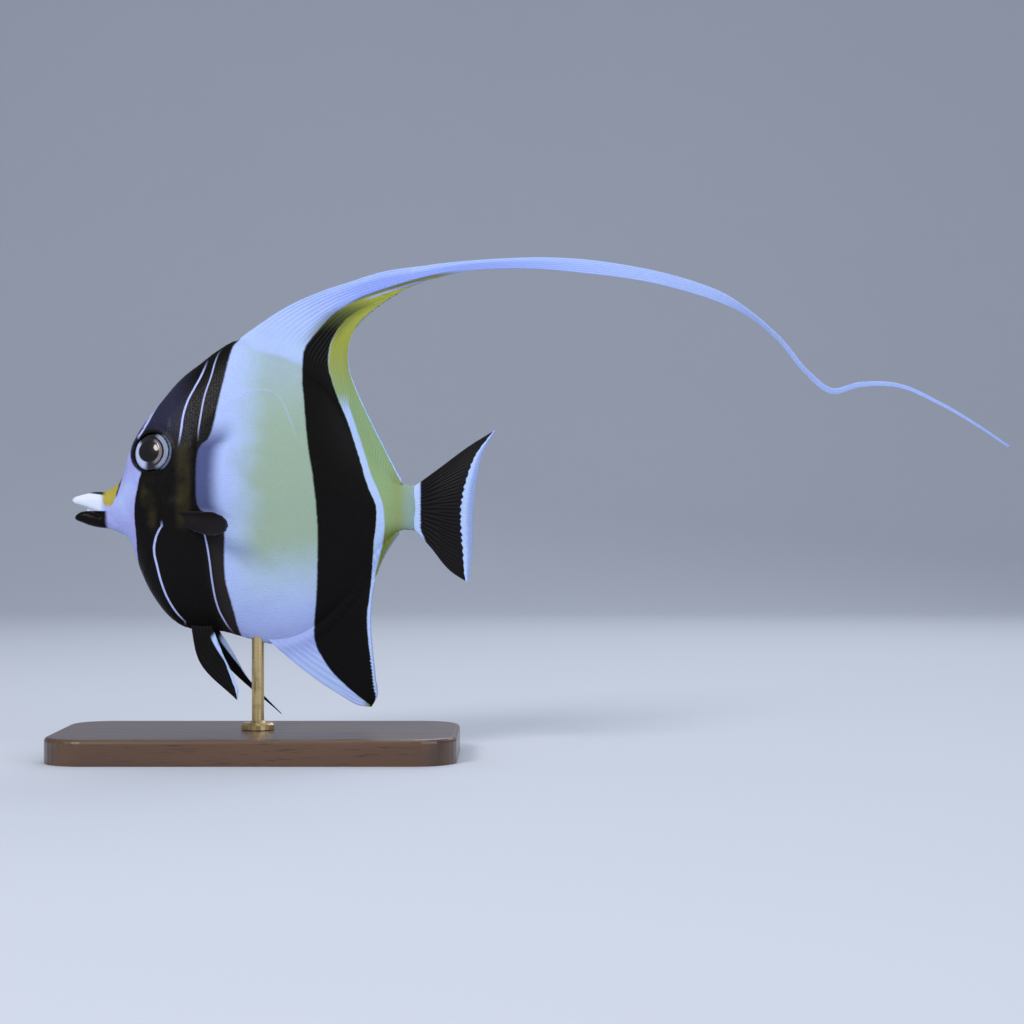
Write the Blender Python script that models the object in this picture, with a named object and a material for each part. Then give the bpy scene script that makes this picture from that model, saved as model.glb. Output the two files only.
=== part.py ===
"""Moorish idol (Zanclus cornutus), a still life-size model held over a plain stand.

Metres, +Z up. The snout points to -X, the fish's left side to -Y, and the origin is the middle
of the underside of the stand's base. The sizes below are in millimetres.
"""

import math

import bmesh
import bpy
import numpy as np
from mathutils import Matrix, Vector

MM = 0.001
GAP = 0.3

# The fish's middle plane is y = 0. Side outlines are (x, z), head to tail.
BACK = [(-60.3, 102.5), (-57.6, 103.5), (-55.2, 105.1), (-53.2, 107.4), (-51.8, 111.2),
        (-50.4, 116.9), (-49.0, 120.8), (-47.1, 124.7), (-44.0, 129.4), (-40.1, 134.4),
        (-35.4, 140.3), (-30.3, 146.1), (-22.6, 152.3), (-14.8, 158.2), (-8.6, 161.4),
        (-3.6, 161.0), (3.0, 157.6), (17.1, 152.3), (28.0, 144.1), (39.7, 126.6),
        (50.0, 110.5), (55.2, 106.2), (61.9, 105.2)]
BELLY = [(-60.3, 88.5), (-57.6, 87.9), (-53.7, 86.6), (-51.3, 85.4), (-49.6, 83.4),
         (-48.2, 80.4), (-46.7, 75.3), (-44.0, 68.3), (-38.1, 58.2), (-30.3, 50.8),
         (-24.0, 48.8), (-14.0, 48.2), (-5.8, 46.0), (6.6, 43.2), (12.4, 43.8),
         (20.2, 46.9), (28.0, 52.7), (35.8, 61.3), (47.5, 80.0), (54.0, 86.8),
         (61.9, 87.4)]
HALF_WIDTH = [(-60.3, 3.2), (-53.7, 4.1), (-49.8, 5.8), (-45.9, 7.6), (-40.5, 9.8),
              (-34.2, 11.6), (-26.5, 12.8), (-18.7, 13.3), (-7.0, 13.1), (4.7, 12.2),
              (16.3, 10.8), (28.0, 8.8), (39.7, 6.3), (49.4, 4.1), (55.2, 3.1),
              (61.9, 2.7)]
# How sharply a cross-section narrows to its ridges: 1 is an ellipse, more is a keel.
KEEL = [(-60.3, 1.0), (-50.0, 1.05), (-35.0, 1.2), (0.0, 1.3), (40.0, 1.2), (61.9, 1.0)]
BODY_STATIONS = 44
RING_HALF = 13
# A helper solid that cuts or keeps a length of the body reaches clear of it on every side.
CUT_FRONT, CUT_REAR, CUT_DEPTH = -90.0, 90.0, 30.0
SHARP_DEGREES = 40.0

# The free edge of the gill cover, carried up to the nape and down to the throat.
GILL_EDGE = [(-18.0, 175.0), (-19.8, 157.0), (-22.4, 140.0), (-24.0, 130.0), (-23.4, 122.0),
             (-22.3, 114.0), (-22.2, 107.0), (-23.5, 101.2), (-26.8, 97.4), (-31.1, 94.2),
             (-35.0, 90.0), (-38.3, 83.9), (-41.6, 75.3), (-45.2, 66.0), (-52.0, 40.0)]
GILL_POINTS = 56
GILL_RISE = 0.55
GILL_BLEND = 7.0
GILL_TOP_Z, GILL_FADE = 128.0, 9.0
PEDUNCLE_X, PEDUNCLE_LOW, PEDUNCLE_HIGH = 54.0, 60.0, 130.0

EYE_X, EYE_Z = -40.3, 117.9
EYE_RADIUS, EYE_DEPTH, EYE_SINK = 7.7, 3.6, 1.7
RIM_RADIUS, RIM_TUBE, RIM_SINK = 8.15, 0.6, 0.35
EYE_SEGMENTS, EYE_RINGS, RIM_SEGMENTS, RIM_SIDES = 24, 10, 30, 7
NOSTRILS = [(-48.9, 114.9, 0.75), (-47.3, 112.9, 0.55)]
NOSTRIL_TUBE, NOSTRIL_SEGMENTS, NOSTRIL_SIDES = 0.32, 10, 6

# Jaws: (x, top z, bottom z, half-width), from the snout forward.
UPPER_JAW = [(-60.6, 102.6, 93.6, 3.1), (-63.4, 102.6, 94.7, 3.0), (-66.5, 101.9, 96.1, 2.7),
             (-69.2, 101.2, 97.2, 2.3), (-71.3, 100.5, 98.0, 1.6), (-72.4, 99.9, 98.6, 0.9)]
LOWER_JAW = [(-60.6, 93.1, 88.5, 3.0), (-63.4, 94.2, 88.9, 2.9), (-66.0, 94.9, 89.6, 2.6),
             (-68.4, 94.9, 90.6, 2.2), (-70.2, 94.0, 91.2, 1.5), (-71.6, 92.9, 91.8, 0.8)]
JAW_RING_HALF, JAW_STATIONS = 9, 11
# Lips swell the jaws along the gape; angles run from the top of a section.
LIP_RISE, LIP_SPREAD = 0.4, 0.34
UPPER_LIP_ANGLE, LOWER_LIP_ANGLE = 2.25, 0.85

# Upright fins lie in the middle plane: root line, free edge and leading ray.
DORSAL_ROOT = [(-12.5, 156.8), (-4.0, 155.6), (6.0, 151.4), (17.5, 147.5)]
DORSAL_LEAD = [(-12.5, 156.8), (-7.2, 161.7), (-1.2, 166.3), (12.4, 175.1), (24.1, 180.3),
               (35.8, 184.2), (47.5, 187.9), (64.7, 190.6)]
DORSAL_SPLIT = [(17.5, 147.5), (18.0, 157.4), (24.1, 165.9), (29.2, 171.2), (35.8, 175.7),
                (44.5, 179.2), (56.4, 181.1)]
# The crest's cut end, where the filament goes on, then its short lower edge.
DORSAL_TIP = [(64.7, 190.6), (65.7, 184.8), (61.4, 183.0), (56.4, 181.1)]
REAR_ROOT = [(17.5, 147.5), (27.0, 138.3), (33.4, 129.6), (45.4, 111.4), (55.4, 103.0)]
REAR_MARGIN = [(56.4, 181.1), (51.3, 178.0), (43.6, 172.3), (37.8, 165.8), (35.4, 159.0),
               (35.3, 151.9), (37.7, 144.1), (41.6, 135.6), (49.4, 120.0), (55.9, 107.4)]
ANAL_ROOT = [(2.0, 47.6), (10.4, 47.4), (19.4, 50.2), (26.6, 56.2), (34.0, 64.6),
             (45.6, 82.8), (54.4, 89.6)]
ANAL_LEAD = [(2.0, 47.6), (6.8, 42.7), (14.4, 36.0), (24.1, 28.6), (31.9, 23.6),
             (39.7, 19.4), (44.2, 18.9)]
ANAL_MARGIN = [(44.2, 18.9), (46.5, 22.8), (45.9, 30.6), (44.2, 55.8), (45.7, 68.0),
               (49.6, 78.2), (54.8, 86.4)]
TAIL_ROOT = [(62.2, 105.4), (62.2, 87.2)]
TAIL_UPPER = [(62.2, 105.4), (70.8, 112.0), (82.5, 120.6), (93.0, 127.0)]
TAIL_LOWER = [(62.2, 87.2), (66.9, 81.2), (74.7, 71.8), (82.1, 66.9)]
TAIL_MARGIN = [(93.0, 127.0), (87.9, 118.4), (85.2, 107.2), (84.0, 95.5), (83.3, 79.0),
               (82.1, 66.9)]

DORSAL_RAYS, REAR_RAYS, ANAL_RAYS, TAIL_RAYS, PAIRED_RAYS = 11, 26, 24, 16, 7
# The column of the soft dorsal's grid where its front and rear lengths part.
REAR_CUT = 18
DORSAL_ROWS, ANAL_ROWS, TAIL_ROWS = 9, 7, 7
# How far the bow of a fin's end rays carries on into the fin: more fades sooner.
CREST_FADE, REAR_FADE, ANAL_FADE, TAIL_FADE, PAIRED_FADE = 1.0, 3.5, 3.0, 2.0, 1.5
FIN_ROOT_THICK, TAIL_ROOT_THICK, PAIRED_ROOT_THICK = 1.9, 2.6, 1.1
EDGE_THICK = 0.55
RAY_RISE, RAY_TIP_SHARE = 0.55, 0.4
# The leading spines thicken the first columns of a fin.
CREST_SPINE, ANAL_SPINE, PAIRED_SPINE = 0.8, 0.6, 0.5
SPINE_COLUMNS, SPINE_TIP_SHARE = 3, 0.2

# Paired fins are (x, y, z), base to tip. The pectoral is the left one and is mirrored to the right.
PECTORAL_ROWS, PELVIC_ROWS = 8, 9
PECTORAL_ROOT = [(-32.6, -8.6, 95.0), (-31.4, -8.8, 91.4)]
PECTORAL_TIPS = [(-15.6, -31.5, 94.8), (-11.8, -31.0, 92.6), (-10.7, -28.6, 89.8),
                 (-12.4, -25.0, 87.2), (-16.8, -21.4, 86.2), (-22.4, -18.0, 87.6)]
LEFT_PELVIC_ROOT = [(-26.0, -1.6, 51.6), (-17.8, -1.6, 51.2)]
LEFT_PELVIC_TIPS = [(-7.0, -9.2, 22.0), (-6.6, -9.0, 25.6), (-8.6, -8.0, 31.0), (-13.4, -6.0, 40.0)]
LEFT_PELVIC_LEAD = (-22.4, -4.6, 37.4)
RIGHT_PELVIC_ROOT = [(-25.0, 1.6, 51.6), (-16.8, 1.6, 51.2)]
RIGHT_PELVIC_TIPS = [(8.4, 9.8, 15.2), (3.4, 9.2, 20.4), (-3.2, 8.0, 27.4), (-10.6, 5.8, 40.0)]
RIGHT_PELVIC_LEAD = (-13.6, 4.8, 35.6)

# The long dorsal filament: centre (x, y, z) of a ribbon, its width and its turn in degrees.
STREAMER = [(65.3, 0.0, 187.7, 5.8, 0), (80.5, 0.3, 190.4, 3.9, 0), (94.1, 0.8, 191.4, 3.9, 0),
            (109.7, 1.2, 191.6, 4.6, 0), (125.3, 1.4, 190.6, 5.3, 0), (140.8, 1.2, 188.7, 5.1, 5),
            (154.4, 0.8, 186.2, 4.8, 10), (168.0, 0.0, 182.5, 4.6, 18),
            (179.7, -0.8, 178.2, 4.2, 28), (190.0, -1.4, 172.4, 3.5, 58),
            (203.1, -1.6, 161.3, 3.0, 66), (213.6, -1.0, 148.8, 2.7, 56),
            (223.3, 0.4, 141.8, 2.3, 30), (234.2, 1.6, 144.3, 2.0, 18),
            (249.7, 2.6, 144.0, 1.6, 10), (265.3, 3.0, 137.3, 1.3, 5),
            (280.9, 3.0, 128.2, 1.0, 0), (292.9, 2.8, 120.0, 0.8, 0)]
# Rows of the table above where one length of the filament ends and the next begins.
STREAMER_JOINTS = (0, 4, 9, 12, 14, 17)
STREAMER_STATION_STEP = 4.4
STREAMER_THICK, STREAMER_THICK_SHARE = 0.5, 0.12
# Half of a cross-section, edge to edge: shares of the width, and of the thickness to one side.
STREAMER_SECTION = [(0.5, 0.0), (0.28, 0.32), (0.12, 0.5), (-0.08, 0.34), (-0.3, 0.46), (-0.5, 0.0)]

BASE_LENGTH, BASE_WIDTH, BASE_HEIGHT = 156.0, 84.0, 10.0
BASE_CORNER, BASE_CORNER_STEPS, BASE_EDGE, BASE_EDGE_STEPS = 16.0, 8, 1.6, 3
ROD_X, ROD_RADIUS, ROD_SINK, ROD_SIDES = 0.0, 2.4, 2.0, 24
FLANGE_RADIUS, FLANGE_HEIGHT, FLANGE_EDGE = 6.5, 2.6, 0.8

MATERIALS = {
    "skin": ((0.50, 0.52, 0.46), 0.42, 0.0),
    "fin": ((0.60, 0.62, 0.45), 0.45, 0.0),
    "dark_fin": ((0.03, 0.025, 0.02), 0.45, 0.0),
    "eye": ((0.02, 0.02, 0.02), 0.08, 0.0),
    "wood": ((0.16, 0.08, 0.04), 0.4, 0.0),
    "brass": ((0.75, 0.58, 0.30), 0.3, 1.0),
}


def curve_at(knots, values, at):
    """Smooth curve through values at rising knots, with slopes taken from the neighbours."""
    knots, values = np.asarray(knots, float), np.asarray(values, float)
    steps = np.diff(knots)
    slopes = np.diff(values) / steps
    inner = (slopes[:-1] * steps[1:] + slopes[1:] * steps[:-1]) / (steps[:-1] + steps[1:])
    tangents = np.concatenate([slopes[:1], inner, slopes[-1:]])
    i = np.clip(np.searchsorted(knots, at) - 1, 0, len(steps) - 1)
    t = (np.asarray(at, float) - knots[i]) / steps[i]
    rise = (2 * t**3 - 3 * t**2 + 1) * values[i] + (3 * t**2 - 2 * t**3) * values[i + 1]
    bend = (t**3 - 2 * t**2 + t) * tangents[i] + (t**3 - t**2) * tangents[i + 1]
    return rise + steps[i] * bend


def table_at(table, at):
    """A smooth function of x read from (x, value) pairs."""
    return curve_at([row[0] for row in table], [row[1] for row in table], at)


def walked(points):
    """How far along a line of points each one lies."""
    return np.concatenate([[0], np.cumsum(np.linalg.norm(np.diff(points, axis=0), axis=1))])


def straight_line(points, count):
    """Evenly spaced points on the straight runs between the given ones."""
    points = np.asarray(points, float)
    walk = walked(points)
    even = np.linspace(0, walk[-1], count)
    return np.stack([np.interp(even, walk, column) for column in points.T], axis=1)


def smooth_line(points, count):
    """Evenly spaced points on a smooth curve through the given ones."""
    points = np.asarray(points, float)
    knots = walked(points)
    fine_at = np.linspace(0, knots[-1], 30 * len(points))
    fine = np.stack([curve_at(knots, column, fine_at) for column in points.T], axis=1)
    return straight_line(fine, count)


def section_at(x):
    """(middle z, half-height, half-width, keel) of the body at x."""
    top, bottom = table_at(BACK, x), table_at(BELLY, x)
    return (top + bottom) / 2, (top - bottom) / 2, table_at(HALF_WIDTH, x), table_at(KEEL, x)


def half_width_at(x, z):
    """How far the skin stands from the middle plane at (x, z)."""
    middle, half, width, keel = section_at(x)
    across = np.clip((z - middle) / half, -0.999, 0.999)
    return width * (1 - across**2) ** (keel / 2)


def skin_frame(x, z, side):
    """The point of the skin at (x, z) on one side, and its outward normal."""
    step = 0.5
    y = half_width_at(x, z)
    lean_x = (half_width_at(x + step, z) - half_width_at(x - step, z)) / (2 * step)
    lean_z = (half_width_at(x, z + step) - half_width_at(x, z - step)) / (2 * step)
    return Vector((x, side * y, z)), Vector((-lean_x, side, -lean_z)).normalized()


def gill_lift(x, z):
    """How much the gill cover stands proud of the plain body, just ahead of its edge."""
    line = sorted((edge_z, edge_x) for edge_x, edge_z in GILL_EDGE)
    ahead = np.maximum(table_at(line, z) - x, 0)
    upper = np.clip((GILL_TOP_Z - z) / GILL_FADE, 0, 1)
    return GILL_RISE * np.exp(-((ahead / GILL_BLEND) ** 2)) * upper


def body_stations():
    """Values of x, closer together where the outline turns steep."""
    fine = np.linspace(BACK[0][0], BACK[-1][0], 2000)
    top, bottom = table_at(BACK, fine), table_at(BELLY, fine)
    pace = np.sqrt(np.diff(fine) ** 2 + 0.5 * (np.diff(top) ** 2 + np.diff(bottom) ** 2))
    walk = np.concatenate([[0], np.cumsum(pace)])
    return np.interp(np.linspace(0, walk[-1], BODY_STATIONS), walk, fine)


def body_rings(grow=0.0, lift=False):
    """Cross-sections of the body, each a ring of points from its back round to its back."""
    rings = []
    angles = np.linspace(0, 2 * math.pi, 2 * RING_HALF, endpoint=False)
    for x in body_stations():
        middle, half, width, keel = section_at(x)
        z = middle + (half + grow) * np.cos(angles)
        y = (width + grow) * np.sign(np.sin(angles)) * np.abs(np.sin(angles)) ** keel
        if lift:
            y = y + np.sign(y) * gill_lift(x, z) * np.abs(np.sin(angles))
        rings.append([(x, b, c) for b, c in zip(y, z)])
    return rings


def make_object(name, vertices, faces, material):
    """A mesh object from points in millimetres, with its faces turned outwards."""
    mesh = bpy.data.meshes.new(name)
    mesh.from_pydata([Vector(v) * MM for v in vertices], [], faces)
    shaped = bmesh.new()
    shaped.from_mesh(mesh)
    bmesh.ops.recalc_face_normals(shaped, faces=shaped.faces)
    shaped.to_mesh(mesh)
    shaped.free()
    mesh.materials.append(material)
    made = bpy.data.objects.new(name, mesh)
    bpy.context.scene.collection.objects.link(made)
    return made


def loft(name, rings, material):
    """A closed solid through rings of equal count, with flat ends."""
    count = len(rings[0])
    vertices = [point for ring in rings for point in ring]
    faces = [tuple(range(count)), tuple(range(len(vertices) - 1, len(vertices) - count - 1, -1))]
    for i in range(len(rings) - 1):
        for j in range(count):
            a, b = i * count + j, i * count + (j + 1) % count
            faces.append((a, b, b + count, a + count))
    return make_object(name, vertices, faces, material)


def prism(name, outline, half_depth, material):
    """A helper solid: a side outline carried straight across the body."""
    near = [(x, -half_depth, z) for x, z in outline]
    far = [(x, half_depth, z) for x, z in outline]
    return loft(name, [near, far], material)


def boolean(target, other, operation):
    """Combines two solids, applies the result and removes the second one."""
    modifier = target.modifiers.new(operation.title(), "BOOLEAN")
    modifier.object, modifier.operation, modifier.solver = other, operation, "EXACT"
    graph = bpy.context.evaluated_depsgraph_get()
    result = bpy.data.meshes.new_from_object(target.evaluated_get(graph))
    target.modifiers.clear()
    worn = target.data
    target.data = result
    bpy.data.meshes.remove(worn)
    bpy.data.objects.remove(other)
    keep_largest(target)


def six_volumes(island):
    """Six times the volume inside the closed surface that these vertices make."""
    total = 0.0
    for face in {face for vertex in island for face in vertex.link_faces}:
        first = face.verts[0].co
        for b, c in zip(face.verts[1:], face.verts[2:]):
            total += first.dot(b.co.cross(c.co))
    return total


def keep_largest(target):
    """Leaves only the closed surface that holds the most volume."""
    shaped = bmesh.new()
    shaped.from_mesh(target.data)
    waiting, islands = set(shaped.verts), []
    while waiting:
        found = {next(iter(waiting))}
        reached = list(found)
        while reached:
            near = {vertex for edge in reached.pop().link_edges for vertex in edge.verts}
            reached += near - found
            found |= near
        islands.append(found)
        waiting -= found
    if len(islands) > 1:
        best = max(islands, key=six_volumes)
        loose = [vertex for vertex in shaped.verts if vertex not in best]
        bmesh.ops.delete(shaped, geom=loose, context="VERTS")
        shaped.to_mesh(target.data)
    shaped.free()


def place(mesh_maker, frame_to, **sizes):
    """A bmesh primitive moved by a matrix, as vertices and faces."""
    shaped = bmesh.new()
    mesh_maker(shaped, **sizes)
    bmesh.ops.transform(shaped, matrix=frame_to, verts=shaped.verts)
    vertices = [tuple(v.co) for v in shaped.verts]
    faces = [tuple(v.index for v in f.verts) for f in shaped.faces]
    shaped.free()
    return vertices, faces


def facing(point, normal):
    """A matrix that puts local +Z along the normal, at the point."""
    return Matrix.Translation(point) @ normal.to_track_quat("Z", "Y").to_matrix().to_4x4()


def ball(name, frame_to, radius, depth, segments, rings, material):
    """A flattened ball, its short axis along local Z."""
    squash = Matrix.Diagonal((radius, radius, depth, 1.0))
    vertices, faces = place(bmesh.ops.create_uvsphere, frame_to @ squash,
                            u_segments=segments, v_segments=rings, radius=1.0)
    return make_object(name, vertices, faces, material)


def ring_solid(name, frame_to, radius, tube, segments, sides, material):
    """A torus round local Z."""
    vertices, faces = [], []
    for i in range(segments):
        turn = 2 * math.pi * i / segments
        for j in range(sides):
            round_tube = 2 * math.pi * j / sides
            reach = radius + tube * math.cos(round_tube)
            local = Vector((reach * math.cos(turn), reach * math.sin(turn),
                            tube * math.sin(round_tube)))
            vertices.append(tuple(frame_to @ local))
            a, b = i * sides, ((i + 1) % segments) * sides
            faces.append((a + j, b + j, b + (j + 1) % sides, a + (j + 1) % sides))
    return make_object(name, vertices, faces, material)


def fin_grid(root, margin, lead, trail, columns, rows, fade, margin_line=smooth_line):
    """Points of a fin's middle surface: columns run along the rays from root to margin."""
    roots, margins = smooth_line(root, columns), margin_line(margin, columns)
    leads, trails = smooth_line(lead, rows), smooth_line(trail, rows)
    down = np.linspace(0, 1, rows)[:, None]
    lead_bow = leads - (leads[0] + (leads[-1] - leads[0]) * down)
    trail_bow = trails - (trails[0] + (trails[-1] - trails[0]) * down)
    grid = []
    for i, share in enumerate(np.linspace(0, 1, columns)):
        straight = roots[i] + (margins[i] - roots[i]) * down
        grid.append(straight + lead_bow * (1 - share) ** fade + trail_bow * share**fade)
    return np.array(grid)


def fin_solid(name, grid, root_thick, material, spine_thick=0.0):
    """A closed fin from its middle surface, with a ridge along every second column."""
    columns, rows = grid.shape[:2]
    along_u, along_v = np.gradient(grid, axis=0), np.gradient(grid, axis=1)
    normal = np.cross(along_u, along_v)
    normal /= np.maximum(np.linalg.norm(normal, axis=2, keepdims=True), 1e-9)
    taper = np.linspace(1, 0, rows)[None, :]
    crest = (np.arange(columns) % 2)[:, None]
    stout = spine_thick * np.maximum(0, 1 - np.arange(columns) / SPINE_COLUMNS)[:, None]
    ridge = RAY_TIP_SHARE + (1 - RAY_TIP_SHARE) * taper
    spine = SPINE_TIP_SHARE + (1 - SPINE_TIP_SHARE) * taper
    thick = EDGE_THICK + (root_thick - EDGE_THICK) * taper
    thick = thick + RAY_RISE * crest * ridge + stout * spine
    near = grid + normal * thick[..., None] / 2
    far = grid - normal * thick[..., None] / 2
    vertices = [tuple(p) for p in near.reshape(-1, 3)] + [tuple(p) for p in far.reshape(-1, 3)]
    back = columns * rows
    faces = []
    for i in range(columns - 1):
        for j in range(rows - 1):
            a, b, c, d = i * rows + j, (i + 1) * rows + j, (i + 1) * rows + j + 1, i * rows + j + 1
            faces += [(a, b, c), (a, c, d)]
            faces += [(back + a, back + c, back + b), (back + a, back + d, back + c)]
    rim = [i * rows for i in range(columns)]
    rim += [(columns - 1) * rows + j for j in range(1, rows)]
    rim += [i * rows + rows - 1 for i in range(columns - 2, -1, -1)]
    rim += [j for j in range(rows - 2, 0, -1)]
    for a, b in zip(rim, rim[1:] + rim[:1]):
        faces += [(a, a + back, b + back), (a, b + back, b)]
    return make_object(name, vertices, faces, material)


def flat(points):
    """Side-view points set in the middle plane."""
    return [(x, 0.0, z) for x, z in points]


def offset_line(points, distance):
    """A side-view line moved square to itself, to the left of its direction."""
    points = np.asarray(points, float)
    ahead = np.gradient(points, axis=0)
    ahead /= np.linalg.norm(ahead, axis=1, keepdims=True)
    left = np.stack([-ahead[:, 1], ahead[:, 0]], axis=1)
    return [tuple(point) for point in points + left * distance]


def upright_grid(root, margin, lead, trail, rays, rows, fade, margin_line=smooth_line):
    """The middle surface of a fin that stands in the middle plane."""
    return fin_grid(flat(root), flat(margin), flat(lead), flat(trail), 2 * rays + 1, rows, fade,
                    margin_line)


def drawn_in(grid, column):
    """The grid with one end column drawn towards its neighbour by half the gap."""
    inner = grid[1] if column == 0 else grid[-2]
    grid = grid.copy()
    way = inner - grid[column]
    grid[column] += way / np.linalg.norm(way, axis=1, keepdims=True) * GAP / 2
    return grid


def paired_fin(name, root, tips, lead_bend, rows, side, material):
    """One of the paired fins, bowed along its leading ray; side 1 mirrors the given points."""
    root = [(x, -side * y, z) for x, y, z in root]
    tips = [(x, -side * y, z) for x, y, z in tips]
    lead = [root[0], tips[0]]
    if lead_bend:
        lead = [root[0], (lead_bend[0], -side * lead_bend[1], lead_bend[2]), tips[0]]
    trail = [root[-1], tips[-1]]
    grid = fin_grid(root, tips, lead, trail, 2 * PAIRED_RAYS + 1, rows, PAIRED_FADE)
    return fin_solid(name, grid, PAIRED_ROOT_THICK, material, PAIRED_SPINE)


def streamer_rings(start, end):
    """Lens-shaped sections along one length of the dorsal filament, between two table rows."""
    table = np.array(STREAMER, float)
    knots = walked(table[:, :3])
    first = knots[start] + (GAP if start == 0 else GAP / 2)
    last = knots[end] - (GAP / 2 if end < len(table) - 1 else 0)
    rings = []
    for at in np.linspace(first, last, 1 + round((last - first) / STREAMER_STATION_STEP)):
        centre = np.array([curve_at(knots, table[:, k], at) for k in range(3)])
        ahead = np.array([curve_at(knots, table[:, k], at + 0.5) for k in range(3)]) - centre
        ahead /= np.linalg.norm(ahead)
        width = curve_at(knots, table[:, 3], at)
        turn = math.radians(curve_at(knots, table[:, 4], at))
        across = np.cross(ahead, (0, 1, 0))
        across /= np.linalg.norm(across)
        up = across * math.cos(turn) + np.cross(ahead, across) * math.sin(turn)
        out = np.cross(ahead, up)
        thick = STREAMER_THICK + STREAMER_THICK_SHARE * width
        shape = STREAMER_SECTION + [(a, -b) for a, b in reversed(STREAMER_SECTION[1:-1])]
        rings.append([tuple(centre + up * a * width + out * b * thick) for a, b in shape])
    return rings


def ahead_of_gill_edge(shift, skin):
    """A helper solid that takes in all of the body ahead of the gill cover's edge."""
    edge = [(x + shift, z) for x, z in smooth_line(GILL_EDGE, GILL_POINTS)]
    corners = [(CUT_FRONT, edge[-1][1]), (CUT_FRONT, edge[0][1])]
    return prism("ahead", edge + corners, CUT_DEPTH, skin)


def behind_wrist_cut(shift, skin):
    """A helper solid that takes in all of the body behind the cut at the tail's wrist."""
    front = PEDUNCLE_X + shift
    outline = [(front, PEDUNCLE_LOW), (CUT_REAR, PEDUNCLE_LOW), (CUT_REAR, PEDUNCLE_HIGH),
               (front, PEDUNCLE_HIGH)]
    return prism("behind", outline, CUT_DEPTH, skin)


def build_head(skin, eye):
    """The head with sockets, eye rims, nostrils and the gill cover's raised edge."""
    head = loft("head", body_rings(lift=True), skin)
    boolean(head, ahead_of_gill_edge(-GAP / 2, skin), "INTERSECT")
    for side in (-1, 1):
        point, normal = skin_frame(EYE_X, EYE_Z, side)
        rim_at = facing(point - normal * RIM_SINK, normal)
        rim = ring_solid("rim", rim_at, RIM_RADIUS, RIM_TUBE, RIM_SEGMENTS, RIM_SIDES, skin)
        boolean(head, rim, "UNION")
        eye_at = facing(point - normal * EYE_SINK, normal)
        socket = ball("socket", eye_at, EYE_RADIUS + GAP, EYE_DEPTH + GAP, EYE_SEGMENTS, EYE_RINGS,
                      skin)
        boolean(head, socket, "DIFFERENCE")
        for x, z, radius in NOSTRILS:
            edge = ring_solid("nostril", facing(*skin_frame(x, z, side)), radius, NOSTRIL_TUBE,
                              NOSTRIL_SEGMENTS, NOSTRIL_SIDES, skin)
            boolean(head, edge, "UNION")
        ball("eye_left" if side < 0 else "eye_right", eye_at, EYE_RADIUS, EYE_DEPTH, EYE_SEGMENTS,
             EYE_RINGS, eye)


def build_trunk(skin):
    """The trunk behind the gill opening and the tail's wrist, parted by thin cuts."""
    trunk = loft("trunk", body_rings(), skin)
    boolean(trunk, ahead_of_gill_edge(GAP / 2, skin), "DIFFERENCE")
    boolean(trunk, behind_wrist_cut(-GAP / 2, skin), "DIFFERENCE")
    peduncle = loft("caudal_peduncle", body_rings(), skin)
    boolean(peduncle, behind_wrist_cut(GAP / 2, skin), "INTERSECT")


def jaw_rings(table, lip_angle):
    """Sections of one jaw, each with a lip along the gape."""
    table = np.array(table, float)
    ahead = -table[:, 0]
    angles = np.linspace(0, 2 * math.pi, 2 * JAW_RING_HALF, endpoint=False)
    from_lip = np.minimum(angles, 2 * math.pi - angles) - lip_angle
    rings = []
    for at in np.linspace(ahead[0], ahead[-1], JAW_STATIONS):
        top, bottom, width = (curve_at(ahead, table[:, k], at) for k in (1, 2, 3))
        lip = LIP_RISE * np.exp(-((from_lip / LIP_SPREAD) ** 2)) * width / table[0][3]
        across = (width + lip) * np.sin(angles)
        upward = (top + bottom) / 2 + ((top - bottom) / 2 + lip) * np.cos(angles)
        rings.append([(-at, y, z) for y, z in zip(across, upward)])
    return rings


def build_jaws(skin, dark):
    """The short protruding jaws, slightly parted."""
    loft("upper_jaw", jaw_rings(UPPER_JAW, UPPER_LIP_ANGLE), skin)
    loft("lower_jaw", jaw_rings(LOWER_JAW, LOWER_LIP_ANGLE), dark)


def cut_clear_of_body(fin, skin):
    """Trims a fin's root where it meets the body, with a thin gap."""
    boolean(fin, loft("grown", body_rings(grow=GAP), skin), "DIFFERENCE")


def build_upright_fins(fin, dark, skin):
    """Dorsal, anal and tail fins."""
    split = offset_line(DORSAL_SPLIT, GAP)
    crest = upright_grid(DORSAL_ROOT[:-1] + [split[0]], DORSAL_TIP[:-1] + [split[-1]], DORSAL_LEAD,
                         split, DORSAL_RAYS, DORSAL_ROWS, CREST_FADE, straight_line)
    rear = upright_grid(REAR_ROOT, REAR_MARGIN, DORSAL_SPLIT, [REAR_ROOT[-1], REAR_MARGIN[-1]],
                        REAR_RAYS, DORSAL_ROWS, REAR_FADE)
    anal = upright_grid(ANAL_ROOT, ANAL_MARGIN, ANAL_LEAD, [ANAL_ROOT[-1], ANAL_MARGIN[-1]],
                        ANAL_RAYS, ANAL_ROWS, ANAL_FADE)
    tail = upright_grid(TAIL_ROOT, TAIL_MARGIN, TAIL_UPPER, TAIL_LOWER, TAIL_RAYS, TAIL_ROWS,
                        TAIL_FADE)
    rooted = [
        fin_solid("dorsal_fin", crest, FIN_ROOT_THICK, fin, CREST_SPINE),
        fin_solid("dorsal_fin_middle", drawn_in(rear[:REAR_CUT + 1], -1), FIN_ROOT_THICK, fin),
        fin_solid("dorsal_fin_rear", drawn_in(rear[REAR_CUT:], 0), FIN_ROOT_THICK, fin),
        fin_solid("anal_fin", anal, FIN_ROOT_THICK, fin, ANAL_SPINE),
    ]
    for piece in rooted:
        cut_clear_of_body(piece, skin)
    fin_solid("caudal_fin", tail, TAIL_ROOT_THICK, dark)


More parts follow.
